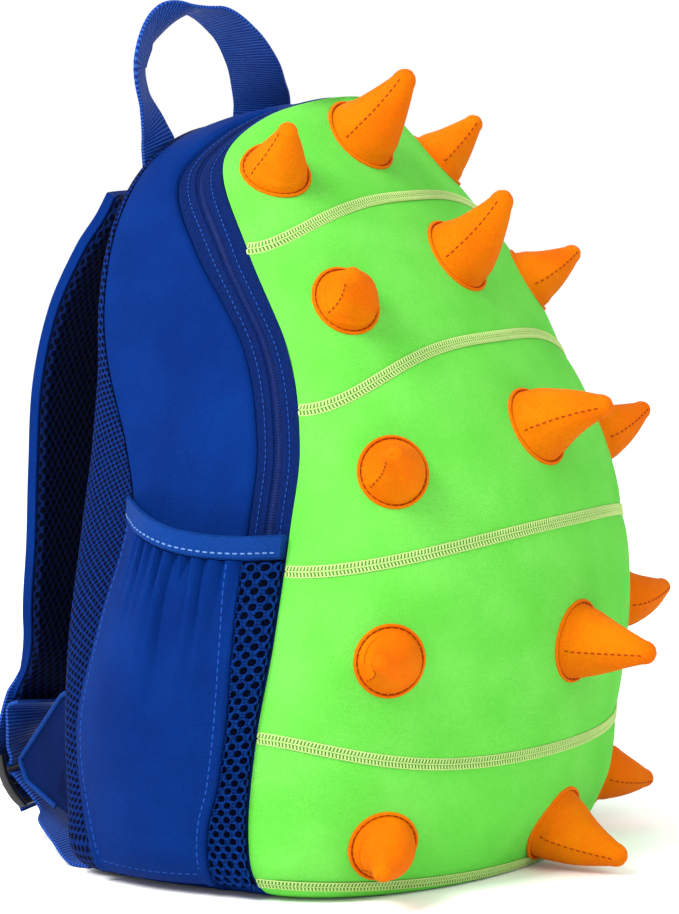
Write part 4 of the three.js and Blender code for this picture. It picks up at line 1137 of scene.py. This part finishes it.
pocket_front = curve(POCKET_FRONT, "up", "y")
swell_across = curve(POCKET_SWELL, "at", "across")
swell_up = curve(POCKET_SWELL, "at", "up")
pocket_sag = curve(POCKET_SAG, "at", "rise")
GATHERS = table("at depth reach", (0.24, 1.7, 16), (0.31, 2.1, 20), (0.38, 1.5, 15),
                (0.45, 2.3, 24), (0.53, 2.5, 30), (0.60, 2.1, 24), (0.68, 2.4, 32),
                (0.76, 1.8, 18), (0.83, 2.1, 24))
GATHER_WIDTH = 0.017
CREST_ASIDE = 0.035
CREST_WIDTH = 0.02
GATHER_FAN = 0.0012     # how far the gathers spread apart with each millimetre down
FOLD_DEPTH = 4.0        # the one long soft fold, and the swelling beside it
FOLD_AT = 0.57
FOLD_WIDTH = 0.06
FOLD_START = 14
FOLD_REACH = 38
SWELLING = 1.4
SWELLING_AT = 0.44
SWELLING_WIDTH = 0.07
SWELLING_DROP = 26
POCKET_COLUMNS = 70
NET_WIDE = 4.4
NET_TALL = 6.2
NET_THREAD = 1.25
NET_REACH = 32.0        # the width of side that the cells of the net have to cover
NET_SIDES = 12
BACKING_WALL = 1.0


def side_width(z):
    """How wide the side is at a height, from the back seam to the green front."""
    return seam_y(share_at(z)) - green_y(share_at(z))


def pocket_top(t):
    return POCKET_HEIGHT - BINDING_HEIGHT + pocket_sag(t)


def pocket_point(side, t, z, proud):
    share = share_at(z)
    y = mix(seam_y(share), green_y(share) + EDGE_GAP, t)
    up = np.clip((z - POCKET_FOOT) / (pocket_top(t) - POCKET_FOOT), 0, 1)
    swell = POCKET_BULGE * swell_across(t) * swell_up(up)
    return side_point(side * (1 - share), y, gusset_proud(share, y) + GAP + swell + proud)


def pocket_line(side, t, z, proud):
    """A line on the pocket, and the direction out of the pocket at its points."""
    line = pocket_point(side, t, z, proud)
    return line, unit(line - pocket_point(side, t, z, 0))


def pocket_edge(z):
    """The share across at which the neoprene of the pocket ends and its mesh begins."""
    y = BACK_Y * pocket_front((z - POCKET_FOOT) / (POCKET_HEIGHT - POCKET_FOOT))
    return (seam_y(share_at(z)) - y) / side_width(z)


def pocket_z(level, t):
    """The height of a pocket row, which follows the sagging top edge as it nears it."""
    top = POCKET_HEIGHT - BINDING_HEIGHT
    rise = (level - POCKET_FOOT) / (top - POCKET_FOOT)
    return level + rise * (pocket_top(t) - top)


def pocket_folds(t, z):
    """Gathers under the elastic, and one long soft fold."""
    below = pocket_top(t) - z
    made = np.zeros(np.broadcast(t, z).shape)
    for at, depth, reach in zip(*GATHERS.values()):
        place = at + GATHER_FAN * below * (at - 0.5)
        fade = bump(below, 2, reach)
        made -= depth * bump(t, place, GATHER_WIDTH) * fade
        made += 0.5 * depth * bump(t, place + CREST_ASIDE, CREST_WIDTH) * fade
    fade = smooth_step(below, -4, FOLD_START)
    fold = FOLD_DEPTH * bump(t, FOLD_AT - GATHER_FAN / 2 * below, FOLD_WIDTH) * fade
    made -= fold * bump(np.maximum(below - FOLD_START, 0), 0, FOLD_REACH)
    made += SWELLING * bump(t, SWELLING_AT, SWELLING_WIDTH) * bump(
        below, SWELLING_DROP, SWELLING_DROP)
    return made


def make_pocket(name, side):
    levels = np.linspace(POCKET_FOOT, POCKET_HEIGHT - BINDING_HEIGHT, 110)[:, None]
    t, inward, depth = section(POCKET_COLUMNS, POCKET_WALL, 1.0)
    share_across = t[None] * pocket_edge(levels)
    width = side_width(levels)
    share_across = share_across + inward[None] / width
    z = pocket_z(levels, share_across)
    hem = 1.0 * smooth_step(share_across * width, 0, 1) * bump(
        (pocket_edge(levels) - share_across) * width, 1.6, 1.6)
    foot_roll = 0.8 * bump(z, POCKET_FOOT + 3.0, 3.0)
    rear_roll = 0.7 * bump(share_across * width, 2.0, 1.8)
    outside = depth[None] < POCKET_WALL / 2
    relief = np.where(outside, hem + foot_roll + rear_roll + pocket_folds(share_across, z), 0)
    shape = Shape()
    grid = pocket_point(side, share_across, z, POCKET_WALL - depth[None] + relief)
    shape.tube(grid)
    body = shape.make(f"pocket_cloth_{name}", BLUE, [f"pocket_{name}"])
    make_pocket_stitches(name, side)
    make_net(name, side)
    make_binding(name, side)


def make_pocket_stitches(name, side):
    z = np.linspace(POCKET_FOOT + 1, POCKET_HEIGHT - BINDING_HEIGHT - 1, 220)
    stitches = Shape()
    for t in (pocket_edge(z) - 4.2 / side_width(z), 5.0 / side_width(z)):
        height = pocket_z(z, t)
        proud = POCKET_WALL + 0.1 + pocket_folds(t, height)
        stitch_row(stitches, *pocket_line(side, t, height, proud), "pocket")
    row = POCKET_FOOT + 5.0
    t = np.linspace(0.05, 0.98, 120) * pocket_edge(row)
    stitch_row(stitches, *pocket_line(side, t, row + 0 * t, POCKET_WALL + 0.4), "pocket")
    stitches.make(f"pocket_stitches_{name}", BLUE_THREAD)


def make_net(name, side):
    """The open mesh beside the pocket: threads round real holes, over a near-black sheet of painted
    shade.
    """
    top = POCKET_HEIGHT - BINDING_HEIGHT
    columns = int(NET_REACH / NET_WIDE) + 1
    rows = int((top - POCKET_FOOT) / (NET_TALL / 2))
    angle = ring_angles(NET_SIDES)
    hole = np.stack([np.cos(angle) * (NET_WIDE - NET_THREAD) / 2,
                     np.sin(angle) * (NET_TALL - 2 * NET_THREAD) / 2.3], -1)
    cell = np.stack([np.cos(angle) * NET_WIDE / 2, np.sin(angle) * NET_TALL / 2.9], -1)
    reach = np.maximum(np.abs(np.cos(angle)), np.abs(np.sin(angle)))
    cell = cell / reach[:, None] ** 0.5
    shape = Shape()

    def place(flat, proud):
        z = np.clip(POCKET_FOOT + flat[..., 1], POCKET_FOOT + 0.2, top - 0.2)
        width = side_width(z)
        t = np.clip(1 - flat[..., 0] / width, pocket_edge(z) + 0.5 / width, 1)
        return pocket_point(side, t, pocket_z(z, t), proud)
    for i in range(rows + 1):
        for j in range(columns):
            middle = np.array([(j + 0.5 * (i % 2)) * NET_WIDE, i * NET_TALL / 2])
            z = POCKET_FOOT + middle[1]
            if middle[0] > (1 - pocket_edge(z)) * side_width(z) + 1.0:
                continue
            loops = [place(middle + flat, POCKET_WALL + lift) for flat, lift in (
                (cell, -0.2), (0.5 * (cell + hole), 0.35), (hole, -0.1), (hole * 0.95, -1.2))]
            cloth = np.stack([middle + flat for flat in (cell, hole, hole, hole)])
            shape.quads(looped(shape.add(np.stack(loops))), looped(cloth))
    net = shape.make(f"pocket_net_{name}", NET, [f"pocket_mesh_{name}"])
    # behind the net lies a near-black sheet of painted shade
    levels = np.linspace(POCKET_FOOT, top, 60)[:, None]
    t, inward, depth = section(14, BACKING_WALL, 0.3)
    width = side_width(levels)
    edge = pocket_edge(levels)
    across = mix(edge + 0.3 / width, 1, t[None]) + inward[None] / width
    backing = Shape()
    grid = pocket_point(side, across, pocket_z(levels, across), 1.1 - depth[None])
    backing.tube(grid)
    cloth = backing.make(f"net_shade_backing_{name}", NET_BACK_SHADE)


def make_binding(name, side):
    """The elastic edge: a thick folded band with one row of pale stitches."""
    t = np.linspace(0, 1, 150)[:, None]
    rise_share, inward, depth = section(14, BINDING_WALL, 1.5)
    rise = mix(GAP, BINDING_HEIGHT, rise_share)[None] + inward[None]
    z = pocket_top(t) + rise
    ripple = 0.16 * np.sin(t * 260) * bump(rise, 2.4, 2.0)
    roll = 0.5 * np.sin(np.pi * np.clip(rise / BINDING_HEIGHT, 0, 1))
    outside = depth[None] < BINDING_WALL / 2
    proud = BINDING_WALL - depth[None] + np.where(outside, ripple + roll, 0)
    shape = Shape()
    grid = pocket_point(side, np.broadcast_to(t, z.shape), z, proud)
    shape.tube(grid)
    band = shape.make(f"elastic_edge_{name}", BINDING,
                      [f"pocket_binding_{name}"])
    across = np.linspace(0.02, 0.985, 200)
    row = pocket_line(side, across, pocket_top(across) + 2.6, BINDING_WALL + 0.45)
    stitches = Shape()
    stitch_row(stitches, *row, "elastic")
    stitches.make(f"elastic_stitches_{name}", PALE_THREAD)


# Straps and webbing

strap_out = curve(STRAP, "up", "out")
strap_wide = curve(STRAP, "up", "wide")
strap_inward = curve(STRAP, "up", "inward")
COVER_WALL = 4.4        # the neoprene face of the strap, over its padded mesh
STRAP_TURN = math.radians(17)   # the lower end turns its outer edge away from the bag
STRAP_TURN_END = 0.16
SEWN_FLAT = 0.55        # the strap's thickness at its sewn lower end, as a share


def strap_frame(side, up):
    """The middle of the strap's outer face, and the directions across it and into it."""
    def face(share):
        return points(0, BACK_Y + STRAP_STAND_OFF * strap_out(share),
                      mix(STRAP_FOOT, STRAP_TOP, share))
    run = unit(face(np.minimum(1, up + 0.02)) - face(np.maximum(0, up - 0.02)))
    turn = STRAP_TURN * (1 - smooth_step(up, 0, STRAP_TURN_END))
    across = points(np.cos(turn), side * np.sin(turn), 0 * up)
    across = unit(across - run * (across * run).sum(-1, keepdims=True))
    centre = face(up)
    centre[..., 0] = side * (STRAP_CENTRE_X - STRAP_WIDTH * strap_inward(up))
    return centre, across, np.cross(across, run)


def strap_depth(up):
    """The strap's thickness, as a share of the full one."""
    return mix(SEWN_FLAT, 1, smooth_step(up, 0.0, 0.10))


def strap_point(side, up, depth):
    centre, _, inward = strap_frame(side, np.asarray(up, float))
    return centre + inward * np.asarray(depth, float)[..., None]


def make_strap(name, side):
    up = np.linspace(1, 0, 150)
    centre, level, inward = strap_frame(side, up)
    half = STRAP_WIDTH * strap_wide(up) / 2
    flat = strap_depth(up)[:, None]

    def layer(profile, narrower):
        """Rings through the strap: share across and depth in millimetres."""
        rings = []
        for across, depth in profile:
            x = (half - narrower) * across
            rings.append(centre + level * x[:, None] + inward * depth * flat)
        return np.stack(rings, 1)
    crown = np.linspace(-1, 1, 26)
    face = [(a, 0.35 + 0.9 * a**4) for a in crown]
    shape = Shape()
    shape.tube(layer([*face, (0.995, COVER_WALL + 0.9), (0.97, COVER_WALL + 1.2),
                      *[(a, COVER_WALL) for a in crown[::-1][2:-2]], (-0.97, COVER_WALL + 1.2),
                      (-0.995, COVER_WALL + 0.9)], 0.0))
    cover = shape.make(f"strap_face_{name}", BLUE, [f"strap_{name}"])
    thick = STRAP_THICKNESS + GAP
    pad = [(-0.97, COVER_WALL + 1.5), (-1.0, COVER_WALL + 2.8), (-0.99, thick - 1.8),
           (-0.95, thick - 0.4), *[(a, thick) for a in crown[2:-2]],
           (0.95, thick - 0.4), (0.99, thick - 1.8), (1.0, COVER_WALL + 2.8),
           (0.97, COVER_WALL + 1.5), *[(a, COVER_WALL + 0.3) for a in crown[::-1][3:-3]]]
    # the pad's mesh is painted darker as the shade between the strap and the bag
    pad_shape = Shape()
    pad_shape.tube(layer(pad, 0.4))
    lining = pad_shape.make(f"strap_pad_{name}", PAD_MESH_IN_SHADE, [f"strap_lining_{name}"])
    make_strap_seam(name, centre, level, inward, half)


def make_strap_seam(name, centre, level, inward, half):
    stitches = Shape()
    for edge in (-1, 1):
        line = centre + level * (edge * (half - 4))[:, None] + inward * 0.75
        stitch_row(stitches, line, -inward, "strap")
    stitches.make(f"strap_stitches_{name}", BLUE_THREAD)


def lock_frame(side):
    """The ladder lock's own directions: across its width, down its length, out of its face."""
    across = np.array([math.cos(LOCK_TURN), -side * math.sin(LOCK_TURN), 0])
    down = np.array([0, -math.sin(LOCK_TILT), -math.cos(LOCK_TILT)])
    down = unit(down - across * (down @ across))
    out = np.cross(across, down)
    centre = np.array([side * LOCK_X, BACK_Y + LOCK_OUT, LOCK_UP])
    return across, down, out, centre


WEB_ASIDE = 6.0         # how far out from the strap's middle its webbing is sewn
WEB_OUTSIDE = table("up aside", (0.085, 0), (0.06, 0.2), (0.035, 0.5), (0, 0.9))
WEB_INSIDE = (-0.02, 0.005)
WEB_STITCH_ROWS = (0.076, 0.066, 0.056, 0.046)
BAR_STEP = (LOCK_LENGTH - LOCK_BAR) / 2
LOCK_BOW = 2.6          # how far the lock's middle stands out past its ends
LOCK_BARS = table("at thick", (-1, 1), (-0.5, 1), (0, 1), (1, 1.05))
RAIL_WIDE = 1.2         # the rails, as shares of a bar
RAIL_TALL = 1.35
TURN_RADIUS = math.hypot(LOCK_BAR / 2, LOCK_THICKNESS / 2) + EDGE_GAP + WEBBING_WALL / 2


def lock_middle(side, along):
    """The lock's middle at a distance down it, on its bow."""
    _, down, out, centre = lock_frame(side)
    return centre + down * along + out * LOCK_BOW * (1 - (2 * along / LOCK_LENGTH) ** 2)


def rounded_ring(wide, tall, sides=16, power=0.6):
    """A ring of offsets round a rounded oblong."""
    c, s = np.cos(ring_angles(sides)), np.sin(ring_angles(sides))
    across = np.sign(c) * np.abs(c) ** power * wide / 2
    return across, np.sign(s) * np.abs(s) ** power * tall / 2


def make_lock(name, side):
    """A moulded ladder lock: two rails bowed outward, three bars, and one more over a gap."""
    across, down, out, _ = lock_frame(side)
    shape = Shape()
    rail = np.linspace(-1, 1, 25)
    wide, tall = rounded_ring(LOCK_BAR, LOCK_THICKNESS)
    for edge in (-1, 1):
        rings = []
        for a in rail:
            close = 1 - 0.25 * abs(a) ** 6
            middle = lock_middle(side, a * LOCK_LENGTH / 2)
            middle = middle + across * edge * (LOCK_WIDTH / 2 - LOCK_BAR / 2)
            rings.append(middle + RAIL_WIDE * wide[:, None] * across * close
                         + RAIL_TALL * tall[:, None] * out * close)
        shape.tube(np.stack(rings))
    for place, thick in zip(LOCK_BARS["at"] * BAR_STEP, LOCK_BARS["thick"]):
        reach = np.linspace(-1, 1, 9) * (LOCK_WIDTH / 2 - LOCK_BAR / 2)
        middle = lock_middle(side, place)
        rings = [middle + across * a + wide[:, None] * down * thick + tall[:, None] * out * thick
                 for a in reach]
        shape.tube(np.stack(rings))
    shape.make(f"lock_frame_{name}", BLACK, [f"ladder_lock_{name}"], crease=60)


def ribbon(name, centres, acrosses, replaces):
    """A woven band along a line of points, with rounded edges."""
    run = unit(np.gradient(centres, axis=0))
    wide = unit(acrosses)
    out = unit(np.cross(wide, run))
    b = WEBBING_WALL / 2
    rings = []
    for a, w in ((-1, -0.5 * b), (-1, 0.5 * b), (-0.975, b), (-0.6, b), (-0.2, b), (0.2, b),
                 (0.6, b), (0.975, b), (1, 0.5 * b), (1, -0.5 * b), (0.975, -b), (0.6, -b),
                 (0.2, -b), (-0.2, -b), (-0.6, -b), (-0.975, -b)):
        rings.append(centres + wide * (WEBBING * a / 2) + out * w)
    shape = Shape()
    shape.tube(np.stack(rings, 1))
    band = shape.make(name, WEB, replaces)


def smooth_line(stops, count, *columns):
    """An even, rounded line through the stops, with its other columns."""
    stops = np.asarray(stops, float)
    run = lengths(stops)
    at = np.linspace(0, run[-1], count)
    made = []
    for column in (stops, *columns):
        column = np.asarray(column, float)
        rows = column.reshape(len(run), -1)
        parts = [curve({"run": run, "value": c}, "run", "value")(at) for c in rows.T]
        made.append(np.stack(parts, -1) if column.ndim > 1 else parts[0])
    return made


def round_bar(side, bar, first, below):
    _, down, out, _ = lock_frame(side)
    angle = np.arange(9) / 8 * np.pi
    return (lock_middle(side, bar) + np.outer(below * TURN_RADIUS * np.sin(angle), down)
            + np.outer(first * TURN_RADIUS * np.cos(angle), out))


def make_strap_webbing(name, side):
    across, down, out, centre = lock_frame(side)
    seat = GAP + WEBBING_WALL / 2
    behind = STRAP_THICKNESS * SEWN_FLAT + 2 * seat
    outside = [strap_point(side, up, -seat - GAP) + points(side * WEB_ASIDE * share, 0, 0)
               for up, share in zip(*WEB_OUTSIDE.values())]
    inside = [strap_point(side, up, behind) + points(side * WEB_ASIDE, 0, 0)
              for up in WEB_INSIDE]
    above = -LOCK_LENGTH / 2 - 2
    turn = [centre + down * above + out * TURN_RADIUS, *round_bar(side, -BAR_STEP, 1, 1),
            centre + down * above - out * TURN_RADIUS]
    level = strap_frame(side, np.array(0.0))[1]
    halfway = mix(turn[-1], inside[0], 0.5)
    stops = np.array([*outside, *turn, halfway, *inside])
    wide = np.array([level] * len(outside) + [across] * len(turn) + [mix(across, level, 0.5)]
                    + [level] * len(inside))
    line, wides = smooth_line(stops, 150, wide)
    ribbon(f"strap_web_{name}", line, wides, [f"strap_webbing_{name}"])
    stitches = Shape()
    for step in WEB_STITCH_ROWS:
        middle = strap_point(side, step, -seat - GAP - WEBBING_WALL / 2 - 0.15)
        _, _, inward = strap_frame(side, np.array(step))
        edge = np.linspace(-WEBBING / 2 + 1.5, WEBBING / 2 - 1.5, 12)
        line = middle + edge[:, None] * level
        stitch_row(stitches, line, np.broadcast_to(-inward, line.shape), "webbing")
    stitches.make(f"web_stitches_{name}", PALE_THREAD)


def make_adjust_webbing(name, side):
    across, down, out, centre = lock_frame(side)
    lowest = GAP + WEBBING_WALL / 2
    run = BACK_Y + LOCK_OUT
    corner = np.array([
        [side * TAB_X, BACK_Y - 0.8, lowest],
        [side * TAB_X, mix(BACK_Y, run, 0.16), lowest + 0.5],
        [side * mix(TAB_X, LOCK_X, 0.25), mix(BACK_Y, run, 0.40), LOCK_UP * 0.30],
        [side * mix(TAB_X, LOCK_X, 0.65), mix(BACK_Y, run, 0.66), LOCK_UP * 0.50]])
    level = np.array([1.0, 0, 0])
    start = [mix(level, across, i * i / 16) for i in range(4)]
    rest = [centre + down * (LOCK_LENGTH / 2 + 3) - out * (TURN_RADIUS + 1.5),
            *round_bar(side, 0.0, -1, -1), centre + down * BAR_STEP + out * TURN_RADIUS,
            centre + down * (BAR_STEP + LOCK_BAR) + out * TURN_RADIUS]
    stops = np.array([*corner, *rest])
    wide = np.array([*start, *[across] * len(rest)])
    line, wides = smooth_line(stops, 170, wide)
    ribbon(f"adjust_web_{name}", line, wides, [f"adjust_webbing_{name}"])


WING_REACH = 49         # farther out than its plain solid, as the cloth is pulled by the webbing
WING_SPREAD = 14
PIPING = 1.2
PIPING_SIDES = 8


def make_wing(name, side):
    """The neoprene wing between the back and the adjusting webbing, with a piped edge."""
    flat = np.array([(0, TAB_FOOT), (0, TAB_TOP + 8), (0.4, TAB_TOP), (1, TAB_TIP + 2),
                     (0.9, TAB_TIP * 0.82), (0.5, TAB_TIP * 0.60)])
    middle = flat.mean(0)

    def place(shrink, half):
        inner = mix(flat, middle, shrink)
        x = side * (mix(TAB_X + 6, LOCK_X + WING_SPREAD, inner[:, 0]) + half)
        return points(x, BACK_Y + GAP + WING_REACH * inner[:, 0], inner[:, 1])
    half = TAB_WALL / 2
    rings = [place(0.3, -half * 1.1), place(0.06, -half), place(0.015, -half * 0.7),
             place(0.0, -half * 0.3), place(0.0, half * 0.3), place(0.015, half * 0.7),
             place(0.06, half), place(0.3, half * 1.1)]
    shape = Shape()
    shape.tube(np.stack(rings))
    # the wing's cloth is the blue neoprene painted darker as its shade
    wing = shape.make(f"wing_{name}", SHADE_PAINTED_BLUE, [f"side_tab_{name}"],
                      crease=60)
    place(0.06, half)[[1, 2, 3]]
    edge = spaced(place(0.0, half)[1:], 40)[0]
    run = unit(np.gradient(edge, axis=0))
    out = unit(np.cross(run, [side, 0, 0]))
    level = np.array([side, 0, 0])
    rings = [edge + PIPING * (math.cos(a) * out + math.sin(a) * level)
             for a in ring_angles(PIPING_SIDES)]
    piping = Shape()
    piping.tube(np.stack(rings, 1))
    piping.make(f"wing_piping_{name}", BINDING)


def make_handle():
    foot = BAG_HEIGHT - BACK_DROP - HANDLE_FOOT_DROP
    stops = points(HANDLE_HALF_SPAN * HANDLE["across"],
                   BACK_Y + GAP + WEBBING_WALL / 2 - HANDLE_LEAN * HANDLE["lean"],
                   foot + HANDLE_RISE * HANDLE["up"])
    line, twist = smooth_line(stops, 220, HANDLE["twist"])
    run = unit(np.gradient(line, axis=0))
    level = unit(np.array([0, 1.0, 0]) - run * run[:, 1:2])
    angle = np.radians(twist)[:, None]
    across = level * np.cos(angle) + np.cross(run, level) * np.sin(angle)
    ribbon("handle_loop", line, across, ["handle"])


# Light, floor and backdrop


SKY = 1.0
LAMP_AIM = 0.17
FLOOR_REACH = 30.0
FLOOR_ROUGHNESS = 0.9
LAMPS = (
    # name, azimuth, elevation, distance, watts, width
    ("key", -105, 42, 1.5, 30, 0.7),
    ("front", -20, 30, 1.8, 10, 1.0),
    ("rear", 120, 35, 1.8, 6, 1.0),
)


def make_studio():
    bpy.context.scene.view_settings.view_transform = "Standard"
    world = bpy.data.worlds.new("studio")
    world.use_nodes = True
    ground = world.node_tree.nodes["Background"]
    ground.inputs["Color"].default_value = (1, 1, 1, 1)
    ground.inputs["Strength"].default_value = SKY
    bpy.context.scene.world = world
    mesh = bpy.data.meshes.new("floor")
    square = ((-1, -1), (1, -1), (1, 1), (-1, 1))
    corners = [(x * FLOOR_REACH, y * FLOOR_REACH, 0) for x, y in square]
    mesh.from_pydata(corners, [], [(0, 1, 2, 3)])
    floor_finish = bpy.data.materials.new("floor")
    floor_finish.use_nodes = True
    shader = floor_finish.node_tree.nodes["Principled BSDF"]
    shader.inputs["Base Color"].default_value = (1, 1, 1, 1)
    shader.inputs["Roughness"].default_value = FLOOR_ROUGHNESS
    mesh.materials.append(floor_finish)
    floor = bpy.data.objects.new("floor", mesh)
    bpy.context.scene.collection.objects.link(floor)
    for name, azimuth, elevation, distance, watts, width in LAMPS:
        back = Vector(heading(math.radians(azimuth), math.radians(elevation)))
        data = bpy.data.lights.new(name, "AREA")
        data.energy = watts
        data.size = width
        stand(name, data, Vector((0, 0, LAMP_AIM)), back, distance)


make_front()
make_spikes()
make_gusset()
make_zip()
make_back()
make_base()
for side_name, side_sign in (("left", -1), ("right", 1)):
    make_pocket(side_name, side_sign)
    make_strap(side_name, side_sign)
    make_lock(side_name, side_sign)
    make_strap_webbing(side_name, side_sign)
    make_adjust_webbing(side_name, side_sign)
    make_wing(side_name, side_sign)
make_handle()
make_studio()
